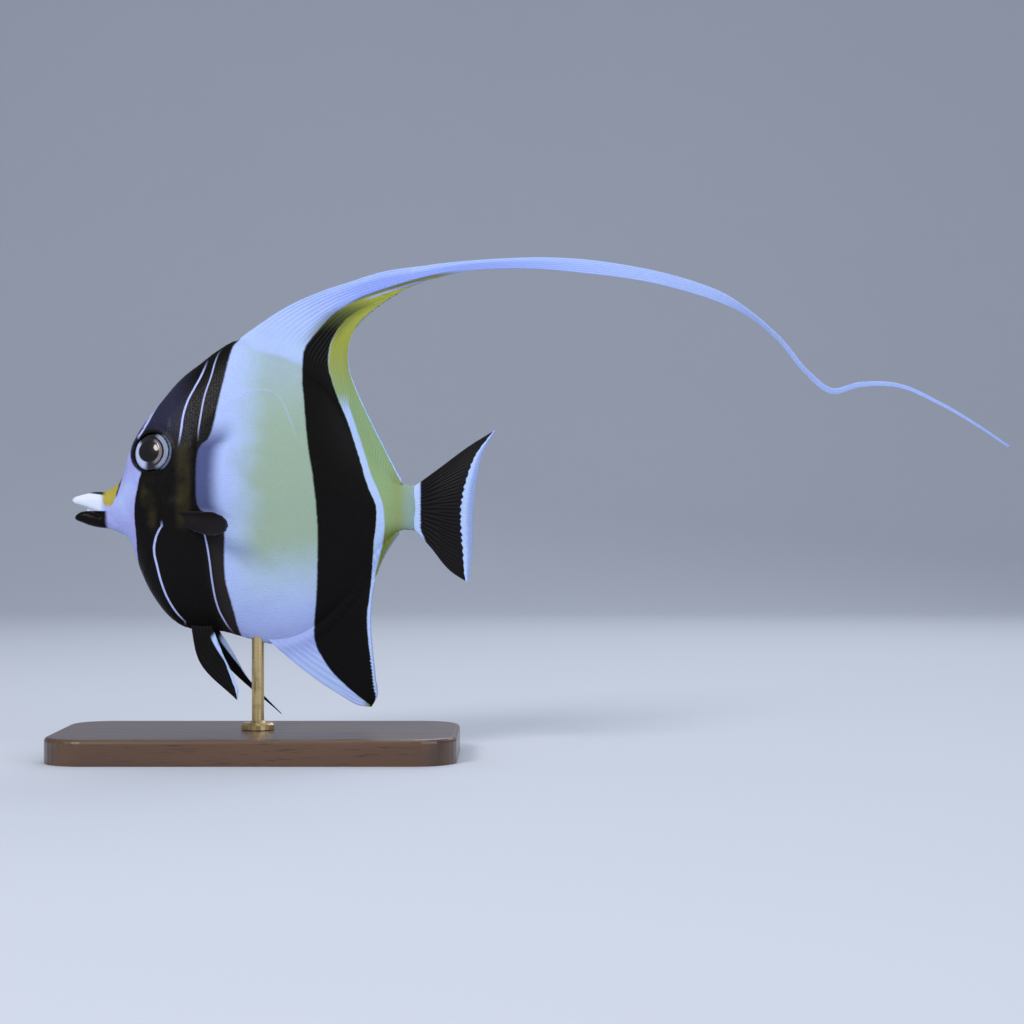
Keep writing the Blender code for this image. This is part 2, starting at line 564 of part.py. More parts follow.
def build_paired_fins(dark, skin):
    """Pectoral and pelvic fins."""
    pieces = [
        paired_fin("pectoral_fin_left", PECTORAL_ROOT, PECTORAL_TIPS, None, PECTORAL_ROWS, -1,
                   dark),
        paired_fin("pectoral_fin_right", PECTORAL_ROOT, PECTORAL_TIPS, None, PECTORAL_ROWS, 1,
                   dark),
        paired_fin("pelvic_fin_left", LEFT_PELVIC_ROOT, LEFT_PELVIC_TIPS, LEFT_PELVIC_LEAD,
                   PELVIC_ROWS, -1, dark),
        paired_fin("pelvic_fin_right", RIGHT_PELVIC_ROOT, RIGHT_PELVIC_TIPS, RIGHT_PELVIC_LEAD,
                   PELVIC_ROWS, -1, dark),
    ]
    for piece in pieces:
        cut_clear_of_body(piece, skin)


def build_stand(wood, brass, skin):
    """A flat base and one rod up to the belly."""
    shaped = bmesh.new()
    bmesh.ops.create_cube(shaped, size=1.0)
    sized = Matrix.Diagonal((BASE_LENGTH, BASE_WIDTH, BASE_HEIGHT, 1.0))
    bmesh.ops.transform(shaped, matrix=Matrix.Translation((0, 0, BASE_HEIGHT / 2)) @ sized,
                        verts=shaped.verts)
    upright = [e for e in shaped.edges if abs(e.verts[0].co.z - e.verts[1].co.z) > 1]
    bmesh.ops.bevel(shaped, geom=upright, offset=BASE_CORNER, segments=BASE_CORNER_STEPS,
                    profile=0.5, affect="EDGES")
    upper = [e for e in shaped.edges if min(v.co.z for v in e.verts) > BASE_HEIGHT - 0.01]
    bmesh.ops.bevel(shaped, geom=upper, offset=BASE_EDGE, segments=BASE_EDGE_STEPS, profile=0.5,
                    affect="EDGES")
    shaped.verts.index_update()
    vertices = [tuple(v.co) for v in shaped.verts]
    faces = [tuple(v.index for v in f.verts) for f in shaped.faces]
    shaped.free()
    make_object("stand_base", vertices, faces, wood)
    foot = BASE_HEIGHT + GAP
    collar = foot + FLANGE_HEIGHT
    top = float(table_at(BELLY, ROD_X)) + ROD_SINK
    profile = [(FLANGE_RADIUS, foot), (FLANGE_RADIUS, collar - FLANGE_EDGE),
               (FLANGE_RADIUS - FLANGE_EDGE, collar), (ROD_RADIUS + FLANGE_EDGE, collar),
               (ROD_RADIUS, collar + FLANGE_EDGE), (ROD_RADIUS, top)]
    turns = np.linspace(0, 2 * math.pi, ROD_SIDES, endpoint=False)
    rings = [[(ROD_X + r * math.cos(a), r * math.sin(a), z) for a in turns] for r, z in profile]
    rod = loft("stand_rod", rings, brass)
    cut_clear_of_body(rod, skin)


def make_materials():
    """One Principled material for each finish."""
    made = {}
    for name, (colour, roughness, metallic) in MATERIALS.items():
        material = bpy.data.materials.new(name)
        material.use_nodes = True
        shader = material.node_tree.nodes["Principled BSDF"]
        shader.inputs["Base Color"].default_value = (*colour, 1.0)
        shader.inputs["Roughness"].default_value = roughness
        shader.inputs["Metallic"].default_value = metallic
        made[name] = material
    return made


def main():
    """Clears the scene and builds the model."""
    for thing in list(bpy.data.objects):
        bpy.data.objects.remove(thing)
    finish = make_materials()
    build_head(finish["skin"], finish["eye"])
    build_trunk(finish["skin"])
    build_jaws(finish["skin"], finish["dark_fin"])
    build_upright_fins(finish["fin"], finish["dark_fin"], finish["skin"])
    for k, (start, end) in enumerate(zip(STREAMER_JOINTS, STREAMER_JOINTS[1:]), 1):
        loft(f"dorsal_streamer_{k}", streamer_rings(start, end), finish["fin"])
    build_paired_fins(finish["dark_fin"], finish["skin"])
    build_stand(finish["wood"], finish["brass"], finish["skin"])
    for piece in bpy.data.objects:
        piece.data.shade_smooth()
        piece.data.set_sharp_from_angle(angle=math.radians(SHARP_DEGREES))


main()
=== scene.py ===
import logging
import math
from abc import ABC, abstractmethod
from collections.abc import Callable, Sequence
from dataclasses import dataclass, replace
from enum import Enum

import bpy
import numpy as np
from mathutils import Matrix, Vector
from mathutils.bvhtree import BVHTree


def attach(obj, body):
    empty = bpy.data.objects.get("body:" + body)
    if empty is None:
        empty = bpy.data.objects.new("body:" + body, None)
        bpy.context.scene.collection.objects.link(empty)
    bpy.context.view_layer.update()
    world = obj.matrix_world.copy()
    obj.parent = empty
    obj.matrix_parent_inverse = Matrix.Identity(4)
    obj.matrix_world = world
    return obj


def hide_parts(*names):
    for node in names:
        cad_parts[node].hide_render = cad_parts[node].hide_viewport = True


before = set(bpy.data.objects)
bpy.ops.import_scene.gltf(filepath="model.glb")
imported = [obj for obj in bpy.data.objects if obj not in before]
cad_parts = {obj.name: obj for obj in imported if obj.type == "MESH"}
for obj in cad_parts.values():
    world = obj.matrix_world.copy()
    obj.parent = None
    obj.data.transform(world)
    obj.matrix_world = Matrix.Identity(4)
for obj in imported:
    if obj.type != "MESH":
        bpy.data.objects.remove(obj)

# A life-size moorish idol, Zanclus cornutus, on a plain display stand.
# Tables are in millimetres: x towards the tail, z up, the fish's middle plane at y = 0.

LOG = logging.getLogger("moorish_idol")
MM = 0.001
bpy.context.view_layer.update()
EYE_AT = (-40.3, 117.9)

Point2 = tuple[float, float]
Point3 = tuple[float, float, float]
Line = tuple[Point2, ...]
Line3 = tuple[Point3, ...]
Colour = tuple[float, float, float]

# Colours are linear.
PALE = (0.47, 0.61, 0.95)
LAVENDER = (0.38, 0.44, 0.88)
LIP_WHITE = (0.70, 0.76, 0.90)
FLANK_YELLOW = (0.33, 0.44, 0.30)
FIN_YELLOW = (0.35, 0.38, 0.065)
FIN_GREEN = (0.28, 0.41, 0.20)
WRIST_OLIVE = (0.27, 0.33, 0.13)
WRIST_PALE = (0.27, 0.38, 0.35)
ROOT_OLIVE = (0.17, 0.21, 0.05)
FACE_LILAC = (0.34, 0.36, 0.74)
THREAD_OLIVE = (0.18, 0.20, 0.035)
FILM_BLUE = (0.26, 0.38, 0.82)
DEEP_OLIVE = (0.075, 0.09, 0.025)
SADDLE_OCHRE = (0.40, 0.33, 0.05)
NIGHT = (0.0040, 0.0034, 0.0034)
# Painted olive sheen on the black cheek.
CHEEK_OLIVE_SHEEN = (0.040, 0.033, 0.012)
REAR_BROWN = (0.050, 0.040, 0.040)
GILL_SHADE = (0.048, 0.058, 0.17)
DUSK = (0.055, 0.055, 0.13)
LINE_WHITE = (0.50, 0.55, 0.95)
# Painted highlight on the rear of the eye's rim.
PAINTED_RIM_HIGHLIGHT = (0.13, 0.16, 0.26)


class Side(Enum):
    """Which flank a paired piece belongs to, by the sign of its y."""

    LEFT = -1.0
    RIGHT = 1.0


def curve_at(knots: Sequence[float], values: Sequence[float], at: np.ndarray | float) -> np.ndarray:
    """Reads a smooth curve through values at rising knots.

    Args:
        knots: Where the values stand, rising.
        values: What the curve passes through.
        at: Where to read it.

    Returns:
        The curve's value at each place.
    """
    knots, values = np.asarray(knots, float), np.asarray(values, float)
    steps = np.diff(knots)
    slopes = np.diff(values) / steps
    inner = (slopes[:-1] * steps[1:] + slopes[1:] * steps[:-1]) / (steps[:-1] + steps[1:])
    tangents = np.concatenate([slopes[:1], inner, slopes[-1:]])
    i = np.clip(np.searchsorted(knots, at) - 1, 0, len(steps) - 1)
    t = (np.asarray(at, float) - knots[i]) / steps[i]
    rise = (2 * t**3 - 3 * t**2 + 1) * values[i] + (3 * t**2 - 2 * t**3) * values[i + 1]
    bend = (t**3 - 2 * t**2 + t) * tangents[i] + (t**3 - t**2) * tangents[i + 1]
    return rise + steps[i] * bend


def table_at(table: Line, at: np.ndarray | float) -> np.ndarray:
    """Reads a smooth function of x from (x, value) pairs."""
    return curve_at([row[0] for row in table], [row[1] for row in table], at)


def walked(points: np.ndarray) -> np.ndarray:
    """Tells how far along a line of points each one lies."""
    return np.concatenate([[0], np.cumsum(np.linalg.norm(np.diff(points, axis=0), axis=1))])


def straight_line(points: Sequence, count: int) -> np.ndarray:
    """Lays evenly spaced points on the straight runs between the given ones."""
    points = np.asarray(points, float)
    walk = walked(points)
    even = np.linspace(0, walk[-1], count)
    return np.stack([np.interp(even, walk, column) for column in points.T], axis=1)


def smooth_line(points: Sequence, count: int) -> np.ndarray:
    """Lays evenly spaced points on a smooth curve through the given ones."""
    points = np.asarray(points, float)
    knots = walked(points)
    fine_at = np.linspace(0, knots[-1], 30 * len(points))
    fine = np.stack([curve_at(knots, column, fine_at) for column in points.T], axis=1)
    return straight_line(fine, count)


def bell(value: np.ndarray | float, spread: float) -> np.ndarray:
    """A smooth bump, 1 where the value is nought and fading over the spread."""
    return np.exp(-((np.asarray(value) / spread) ** 2))


def eased(value: np.ndarray | float) -> np.ndarray:
    """Clamps a share to 0 to 1 and smooths its ends."""
    share = np.clip(value, 0, 1)
    return share * share * (3 - 2 * share)


# Making meshes by hand


def alone(piece: bpy.types.Object) -> None:
    """Leaves one piece selected and active."""
    bpy.ops.object.select_all(action="DESELECT")
    piece.select_set(True)
    bpy.context.view_layer.objects.active = piece


def added(operator: Callable, **settings: object) -> bpy.types.Object:
    """Adds an object with an operator and returns it, alone in the selection."""
    bpy.ops.object.select_all(action="DESELECT")
    operator(**settings)
    return bpy.context.object


def apply_modifier(piece: bpy.types.Object, kind: str, **settings: object) -> None:
    """Adds a modifier of a kind with its settings and applies it at once."""
    alone(piece)
    modifier = piece.modifiers.new(kind.title(), kind)
    for key, value in settings.items():
        setattr(modifier, key, value)
    bpy.ops.object.modifier_apply(modifier=modifier.name)


def edit(piece: bpy.types.Object, *steps: tuple[object, dict]) -> None:
    """Runs edit-mode operators, each with its settings, on all of a piece."""
    alone(piece)
    bpy.ops.object.mode_set(mode="EDIT")
    bpy.ops.mesh.select_all(action="SELECT")
    for operator, settings in steps:
        operator(**settings)
    bpy.ops.object.mode_set(mode="OBJECT")


def grid_piece(name: str, points: np.ndarray) -> bpy.types.Object:
    """Adds a grid and lays its vertices on the given points.

    Args:
        name: What to call the piece.
        points: Places in millimetres, shaped (columns, rows, 3).

    Returns:
        The new object.
    """
    columns, rows = points.shape[:2]
    piece = added(bpy.ops.mesh.primitive_grid_add, x_subdivisions=columns - 1,
                  y_subdivisions=rows - 1, size=1.0)
    piece.name = piece.data.name = name
    piece.data.vertices.foreach_set("co", (points.transpose(1, 0, 2) * MM).astype(np.float32).ravel())
    piece.data.update()
    return piece


def rolled_piece(name: str, rings: np.ndarray) -> bpy.types.Object:
    """Rolls a grid into a closed tube through rings of points, with filled ends.

    Args:
        name: What to call the piece.
        rings: Places in millimetres, shaped (stations, points round, 3).

    Returns:
        The new object.
    """
    shut = np.concatenate([rings, rings[:, :1]], axis=1)
    piece = grid_piece(name, shut)
    edit(piece, (bpy.ops.mesh.remove_doubles, {"threshold": 1e-6}),
         (bpy.ops.mesh.fill_holes, {"sides": 0}),
         (bpy.ops.mesh.normals_make_consistent, {"inside": False}))
    return piece


def joined(name: str, pieces: list[bpy.types.Object]) -> bpy.types.Object:
    """Joins pieces into the first of them and names it."""
    alone(pieces[0])
    for piece in pieces:
        piece.select_set(True)
    bpy.ops.object.join()
    pieces[0].name = pieces[0].data.name = name
    return pieces[0]


def vectors_of(source: bpy.types.bpy_prop_collection, name: str) -> np.ndarray:
    """Reads a vector from each item of a mesh's list, shaped (count, 3)."""
    vectors = np.empty(len(source) * 3, np.float32)
    source.foreach_get(name, vectors)
    return vectors.reshape(-1, 3).astype(float)


def vertex_places(piece: bpy.types.Object) -> np.ndarray:
    """The piece's vertices in millimetres, shaped (count, 3)."""
    return vectors_of(piece.data.vertices, "co") / MM


def move_vertices(piece: bpy.types.Object, places: np.ndarray) -> None:
    """Puts the piece's vertices at places given in millimetres."""
    piece.data.vertices.foreach_set("co", (places * MM).astype(np.float32).ravel())
    piece.data.update()


def keep_number(piece: bpy.types.Object, name: str, values: np.ndarray) -> None:
    """Stores one number for each vertex, which materials can read by name."""
    attribute = piece.data.attributes.new(name, "FLOAT", "POINT")
    attribute.data.foreach_set("value", values.astype(np.float32).ravel())


def dress(piece: bpy.types.Object, material: bpy.types.Material, slot: str, *nodes: str) -> None:
    """Gives a finished piece its material, its body and the solids that it stands for."""
    piece.data.materials.clear()
    piece.data.materials.append(material)
    piece.data.shade_smooth()
    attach(piece, "root")
    if nodes:
        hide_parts(*nodes)
    LOG.info("%s: %d faces", piece.name, len(piece.data.polygons))


# Finishes


@dataclass(frozen=True)
class Signal:
    """The value of one socket, from which sums, products, steps and curves can be made."""

    wiring: "Wiring"
    socket: bpy.types.NodeSocket

    def __add__(self, other: "Value") -> "Signal":
        """The two values added."""
        return self.wiring.math("ADD", self, other)

    def __sub__(self, other: "Value") -> "Signal":
        """The other value taken from this one."""
        return self.wiring.math("SUBTRACT", self, other)

    def __mul__(self, other: "Value") -> "Signal":
        """The two values multiplied."""
        return self.wiring.math("MULTIPLY", self, other)

    def __abs__(self) -> "Signal":
        """The value without its sign."""
        return self.wiring.math("ABSOLUTE", self)

    def scaled(self, factor: "Value", offset: "Value") -> "Signal":
        """The value times a factor, plus an offset."""
        return self.wiring.math("MULTIPLY_ADD", self, factor, offset)

    def step(self, low: float, high: float) -> "Signal":
        """A smooth step from 0 at low to 1 at high; low may lie above high."""
        rising = low < high
        ends = {1: min(low, high), 2: max(low, high), 3: float(not rising), 4: float(rising)}
        return self.wiring.made("ShaderNodeMapRange", 0, {0: self, **ends},
                                interpolation_type="SMOOTHSTEP", clamp=True)

    def curve(self, points: Line) -> "Signal":
        """Reads a smooth function of the value from (value, result) pairs.

        Args:
            points: Pairs in any order, with values that never repeat.

        Returns:
            The function's result, held at its end values beyond the ends.
        """
        pairs = np.array(sorted(points))
        low, span = pairs.min(axis=0), np.ptp(pairs, axis=0)
        share = self.wiring.math("DIVIDE", self - float(low[0]), float(span[0]), clamp=True)
        result = self.wiring.made("ShaderNodeFloatCurve", 0, {"Value": share})
        mapping = result.socket.node.mapping
        line = mapping.curves[0]
        for k, (at, value) in enumerate((pairs - low) / span):
            if k < 2:
                line.points[k].location = (at, value)
            else:
                line.points.new(at, value)
        mapping.update()
        return result.scaled(float(span[1]), float(low[1]))


Value = float | Colour | Signal


@dataclass(frozen=True)
class Wiring:
    """Adds nodes to one tree and links them."""

    tree: bpy.types.NodeTree

    def plug(self, socket: bpy.types.NodeSocket, value: Value) -> None:
        """Links a socket to a signal, or sets it to a number or colour."""
        if isinstance(value, Signal):
            self.tree.links.new(value.socket, socket)
        elif socket.type == "RGBA":
            socket.default_value = (*value, 1.0)
        else:
            socket.default_value = value

    def made(self, kind: str, output: str | int, inputs: dict[str | int, Value] | None = None,
             **settings: object) -> Signal:
        """Adds a node.

        Args:
            kind: Its type.
            output: Which of its outputs is read.
            inputs: What its inputs are linked or set to.
            settings: Its properties.

        Returns:
            The value of that output.
        """
        node = self.tree.nodes.new(kind)
        for key, value in settings.items():
            setattr(node, key, value)
        for key, value in (inputs or {}).items():
            self.plug(node.inputs[key], value)
        return Signal(self, node.outputs[output])

    def math(self, operation: str, *values: Value, clamp: bool = False) -> Signal:
        """Adds a Math node on the given values."""
        return self.made("ShaderNodeMath", 0, dict(enumerate(values)), operation=operation,
                         use_clamp=clamp)

    def distance(self, across: Signal, up: Signal) -> Signal:
        """The length of the way with these two parts."""
        return self.math("SQRT", across * across + up * up)

    def mix(self, share: Value, low: Value, high: Value, blend: str = "MIX") -> Signal:
        """Blends two colours by a share."""
        return self.made("ShaderNodeMix", 2, {"Factor": share, 6: low, 7: high}, data_type="RGBA",
                         blend_type=blend, clamp_factor=True)

    def noise(self, vector: Signal, scale: float, detail: float = 2.0) -> Signal:
        """Soft noise about 0.5, its scale in cells for each metre."""
        return self.made("ShaderNodeTexNoise", "Fac",
                         {"Vector": vector, "Scale": scale, "Detail": detail})

    def place(self) -> Signal:
        """Object coordinates."""
        return self.made("ShaderNodeTexCoord", "Object")

    def axes(self, place: Signal) -> tuple[Signal, Signal, Signal]:
        """The x, y and z of a place, in metres."""
        x = self.made("ShaderNodeSeparateXYZ", 0, {0: place})
        _, y, z = x.socket.node.outputs
        return x, Signal(self, y), Signal(self, z)

    def stretched(self, vector: Signal, scale: Point3) -> Signal:
        """Object coordinates with each axis scaled."""
        return self.made("ShaderNodeMapping", 0, {"Vector": vector, "Scale": scale})

    def number(self, name: str) -> Signal:
        """Reads the number that a piece stores for each vertex under this name."""
        return self.made("ShaderNodeAttribute", "Fac", attribute_name=name)

    def bump(self, height: Signal, distance_mm: float, strength: float) -> Signal:
        """A bump of this depth, in millimetres, from a height of 0 to 1."""
        return self.made("ShaderNodeBump", 0, {"Height": height, "Distance": distance_mm * MM,
                                               "Strength": strength})


@dataclass(frozen=True)
class Place:
    """Where a point of the surface lies in millimetres, and the soft noise there."""

    w: Wiring
    x: Signal
    y: Signal
    z: Signal
    cloud: Signal

    def past(self, line: Line) -> Signal:
        """How far behind a line, in millimetres along x, the place is."""
        return self.x - self.z.curve(tuple((z, x) for x, z in line))

    def between(self, front: Line, rear: Line, soft: Point2) -> Signal:
        """A mask of what lies between two lines, with edges this soft in millimetres."""
        return self.past(front).step(-soft[0], soft[0]) * self.past(rear).step(soft[1], -soft[1])


def shifted(line: Line, by: float) -> Line:
    """The line moved along x."""
    return tuple((x + by, z) for x, z in line)


@dataclass(frozen=True)
class PaleLine:
    """A thin pale line down the fish's side.

    Attributes:
        points: (x, z) along it, with z that never repeats.
        width: Its width in millimetres.
        low, high: Where its lower and upper ends fade out, each as (z of nothing, z of all).
        strength: How pale it is, 0 to 1.
    """

    points: Line
    width: float
    low: Point2
    high: Point2
    strength: float = 1.0

    def over(self, at: Place, colour: Signal) -> Signal:
        """Draws the line over a colour."""
        drawn = abs(at.past(self.points)).step(self.width * 0.75, self.width * 0.3)
        ends = at.z.step(*self.low) * at.z.step(*self.high)
        return at.w.mix(drawn * ends * self.strength, colour, LINE_WHITE)


@dataclass(frozen=True)
class Patch:
    """A patch of one colour with soft edges.

    Attributes:
        tint: Its colour.
        strength: How much of it shows, 0 to 1.
        x, z: Soft edges, each as (where there is nothing, where there is all).
    """

    tint: Colour
    strength: float
    x: tuple[Point2, ...] = ()
    z: tuple[Point2, ...] = ()

    def over(self, at: Place, colour: Signal) -> Signal:
        """Draws the patch over a colour."""
        edges = [at.x.step(*edge) for edge in self.x] + [at.z.step(*edge) for edge in self.z]
        return at.w.mix(math.prod(edges[1:], start=edges[0]) * self.strength, colour, self.tint)


@dataclass(frozen=True)
class Markings:
    """The bands, patches and lines of the species, with a painted shade behind the gill cover, a
    painted sheen on the black cheek and a painted highlight on the eye's rim, as smooth lines over the
    side view.
    """

    head_front: Line = (
        (-37.0, 140.3), (-38.7, 137.5), (-40.7, 134.4), (-43.8, 128.2), (-46.3, 123.9),
        (-43.6, 118.9), (-43.2, 114.2), (-44.2, 110.3), (-45.1, 107.2), (-45.9, 103.3),
        (-46.7, 99.4), (-47.1, 95.5), (-47.1, 91.6), (-46.7, 87.7), (-46.5, 80.0),
        (-46.3, 74.1), (-46.3, 64.4))
    head_rear: Line = (
        (-5.8, 165.5), (-7.0, 161.7), (-9.3, 158.9), (-10.5, 155.0), (-12.1, 147.3),
        (-14.0, 138.3), (-15.9, 128.6), (-16.9, 125.1), (-18.3, 122.4), (-20.8, 120.2),
        (-22.0, 117.0), (-22.4, 112.0), (-22.5, 104.0), (-22.2, 99.0), (-21.4, 96.6),
        (-19.4, 94.6), (-15.6, 92.6), (-12.6, 90.4), (-11.7, 87.0), (-11.8, 78.0),
        (-11.7, 70.2), (-10.9, 65.2), (-9.7, 60.5), (-8.6, 55.8), (-7.0, 48.8), (-3.9, 41.8))
    rear_front: Line = (
        (43.6, 19.7), (38.9, 23.2), (32.7, 28.6), (29.6, 31.7), (26.8, 35.2), (24.5, 39.1),
        (22.6, 43.0), (22.0, 46.5), (22.2, 52.7), (23.0, 60.5), (23.7, 74.1), (23.9, 83.9),
        (23.7, 91.6), (22.2, 107.2), (19.8, 122.8), (18.3, 138.3), (17.5, 146.1), (17.5, 153.0),
        (17.9, 157.0), (20.2, 161.3), (24.1, 165.9), (29.2, 171.4), (35.8, 175.7),
        (44.3, 178.8), (52.1, 180.7))
    rear_rear: Line = (
        (49.0, 19.3), (46.7, 22.8), (45.5, 29.4), (44.0, 37.2), (42.8, 46.0), (42.4, 54.7),
        (43.2, 60.5), (44.7, 76.1), (45.1, 81.9), (46.1, 89.7), (46.3, 95.5), (44.7, 100.6),
        (42.8, 105.2), (39.3, 116.9), (35.4, 128.6), (30.7, 140.3), (28.8, 146.1), (27.3, 152.5),
        (27.6, 157.0), (29.6, 163.2), (32.7, 167.9), (36.8, 171.6), (44.0, 175.4), (53.7, 179.5))
    stripe_rear: Line = (
        (35.4, 136.5), (37.3, 130.5), (41.2, 118.9), (44.3, 109.1), (47.5, 101.4), (48.9, 96.5),
        (49.4, 89.7), (48.9, 84.5), (47.5, 78.0), (45.9, 72.0), (44.9, 66.0), (44.0, 60.0))
    saddle_front: Line = ((-60.7, 108.0), (-60.7, 102.5), (-60.3, 99.8), (-59.5, 97.9), (-58.0, 95.9))
    saddle_rear: Line = (
        (-53.3, 108.0), (-53.7, 105.6), (-54.5, 102.5), (-55.2, 99.4), (-56.4, 97.1), (-57.6, 95.5))
    saddle_span: Point2 = (96.0, 98.0)
    crest_olive: Line = (
        (14.0, 159.0), (23.3, 165.8), (28.0, 170.4), (33.8, 174.6), (39.7, 177.6), (45.5, 179.8),
        (51.3, 181.8), (59.1, 184.2), (66.9, 186.2), (74.7, 187.7), (82.5, 188.9))
    lines: tuple[PaleLine, ...] = (
        PaleLine(((-35.4, 140.3), (-38.1, 137.5), (-40.1, 134.4), (-43.2, 128.2), (-45.9, 123.9)),
                 1.0, (122.6, 124.4), (141.5, 137.0), 0.9),
        PaleLine(((-19.4, 153.1), (-21.4, 147.6), (-24.1, 142.2), (-26.5, 137.1), (-28.0, 131.3),
                  (-28.6, 125.9), (-29.6, 118.9)), 0.75, (119.0, 127.5), (154.5, 147.0)),
        PaleLine(((-14.0, 157.8), (-15.6, 154.7), (-17.5, 146.9), (-19.8, 139.1), (-21.0, 131.7),
                  (-21.8, 125.5)), 0.6, (121.0, 131.0), (158.5, 150.0), 0.85),
        PaleLine(((-35.8, 89.3), (-37.3, 87.0), (-38.5, 83.9), (-39.1, 80.0), (-38.1, 74.1),
                  (-36.2, 66.3), (-33.5, 59.7), (-28.0, 52.3)), 0.8, (50.0, 56.0), (92.0, 87.5)),
        PaleLine(((-19.4, 86.6), (-18.7, 83.9), (-17.5, 76.1), (-16.7, 68.3), (-15.2, 59.3),
                  (-12.4, 52.3), (-9.3, 47.7)), 0.65, (46.0, 54.0), (90.0, 84.0), 0.8),
        PaleLine(((4.6, 141.6), (7.2, 140.6), (9.3, 138.7), (11.7, 134.4), (13.2, 130.5),
                  (15.6, 124.0), (18.0, 118.5)), 0.7, (118.5, 132.0), (141.6, 140.2), 0.34),
    )
    lateral: Line = (
        (-16.0, 133.0), (-14.0, 134.8), (-10.1, 137.5), (-7.0, 139.1), (-3.1, 141.0),
        (0.0, 141.8), (3.9, 141.9), (8.0, 140.4))
    lateral_ends: tuple[float, float, float, float] = (-15.5, -11.0, 7.4, 5.4)
    sheath: Line = (
        (-6.0, 163.0), (-4.3, 161.0), (-1.9, 158.0), (1.6, 156.8), (5.1, 156.2), (8.6, 155.4),
        (12.4, 153.9), (15.2, 152.7), (17.5, 152.0))
    threads: tuple[tuple[float, float, Colour, Point2, Point2], ...] = (
        (0.0, 0.85, THREAD_OLIVE, (32.0, 40.0), (84.0, 66.0)),
        (-1.15, 0.5, LAVENDER, (40.0, 46.0), (72.0, 58.0)))
    eye_at: Point2 = EYE_AT
    eye_ring: Point2 = (8.3, 9.3)
    belly: Patch = Patch(LAVENDER, 0.6, z=((70.0, 48.0), (36.0, 48.0)))
    crest: Patch = Patch(PALE, 0.75, ((40.0, 4.0),), ((158.0, 168.0),))
    wrist: tuple[Patch, ...] = (
        Patch(WRIST_OLIVE, 0.75, ((48.0, 56.0),), ((122.0, 106.0),)),
        Patch(ROOT_OLIVE, 1.0, ((40.0, 44.0),), ((92.0, 84.0),)),
        Patch(WRIST_PALE, 1.0, ((54.0, 60.0),)),
        Patch(PALE, 1.0, ((61.2, 62.0),)),
    )
    upper_lip: Patch = Patch(LIP_WHITE, 1.0, ((-59.0, -61.5),), ((94.9, 95.5),))
    chin: Patch = Patch(NIGHT, 1.0, ((-57.6, -59.4),), ((95.3, 94.9),))

    def group(self) -> bpy.types.NodeTree:
        """Wires the markings once, as a node group that the skin, the scales and the fins share."""
        tree = bpy.data.node_groups.new("fish_markings", "ShaderNodeTree")
        tree.interface.new_socket("Color", in_out="OUTPUT", socket_type="NodeSocketColor")
        w = Wiring(tree)
        place = w.place()
        x, y, z = w.axes(place)
        ragged = w.noise(place, 700.0, 3.0).scaled(0.5, -0.25)
        at = Place(w, x.scaled(1 / MM, ragged), y * (1 / MM), z * (1 / MM), w.noise(place, 60.0, 3.0))
        colour = self.snout(at, self.bands(at, self.ground(at)))
        smooth = replace(at, x=x * (1 / MM))
        for line in self.lines:
            colour = line.over(smooth, colour)
        above = abs(smooth.z - smooth.x.curve(self.lateral))
        reach = at.x.step(*self.lateral_ends[:2]) * at.x.step(*self.lateral_ends[2:])
        colour = w.mix(above.step(0.55, 0.2) * reach * 0.32, colour, LINE_WHITE)
        w.plug(tree.nodes.new("NodeGroupOutput").inputs["Color"], colour)
        return tree

    def ground(self, at: Place) -> Signal:
        """The pale ground with the yellow flank, the yellow rear and the olive wrist."""
        w, x, z = at.w, at.x, at.z
        shade = w.math("MAXIMUM", x.step(4.0, -16.0), at.cloud.step(0.45, 0.68)) * 0.4
        colour = self.belly.over(at, w.mix(shade, PALE, LAVENDER))
        mottled = at.cloud.scaled(14.0, -7.0)
        flank = (x + mottled).step(-12.0, 6.0) * (z + mottled).step(54.0, 88.0)
        proud = (z - x.curve(self.sheath)).step(-1.3, 1.1)
        upper = z.step(160.0, 124.0).scaled(0.4, 0.6) * proud.scaled(-0.8, 1.0)
        colour = w.mix(flank * upper * 0.92, colour, FLANK_YELLOW)
        colour = self.crest.over(at, colour)
        behind = at.past(self.rear_rear).step(-1.0, 1.0)
        colour = w.mix(behind, colour, w.mix(z.step(162.0, 132.0), FIN_YELLOW, FIN_GREEN))
        for patch in self.wrist:
            colour = patch.over(at, colour)
        over_crest = z - x.curve(self.crest_olive)
        streak = over_crest.step(0.7, -0.7) * x.step(12.0, 24.0) * z.step(160.0, 168.0)
        colour = w.mix(streak * x.step(84.0, 70.0), colour, FIN_YELLOW)
        colour = w.mix(over_crest.step(-0.6, 0.8) * x.step(22.0, 30.0), colour, PALE)
        for offset, width, tint, start, end in self.threads:
            thread = abs(over_crest - offset).step(width, width / 3)
            colour = w.mix(thread * (x.step(*start) * x.step(*end)) * 0.8, colour, tint)
        return colour

    def bands(self, at: Place, colour: Signal) -> Signal:
        """The two black bands, the white stripe behind the rear one and the shade at the gill."""
        w, z = at.w, at.z
        pit = z.step(91.0, 97.0) * z.step(132.0, 119.0)
        shaded = at.past(self.head_rear).step(10.5, 3.5) * pit
        colour = w.mix(shaded * 0.92, colour, GILL_SHADE)
        stripe = at.between(self.rear_rear, self.stripe_rear, (0.25, 0.4)) * z.step(142.0, 132.0)
        colour = w.mix(stripe, colour, PALE)
        smudge = at.between(shifted(self.rear_front, -3.0), shifted(self.rear_rear, 2.5), (2.6, 2.2))
        smudge = smudge * (z.step(157.0, 168.0) * z.step(178.0, 171.0))
        colour = w.mix(smudge * 0.5, colour, DEEP_OLIVE)
        head = at.between(self.head_front, self.head_rear, (0.35, 0.5))
        colour = w.mix(head, colour, self.head_black(at))
        rear = at.between(self.rear_front, self.rear_rear, (0.45, 0.3)) * z.step(178.5, 170.0)
        return w.mix(rear, colour, w.mix(z.step(164.0, 173.0), NIGHT, DEEP_OLIVE))

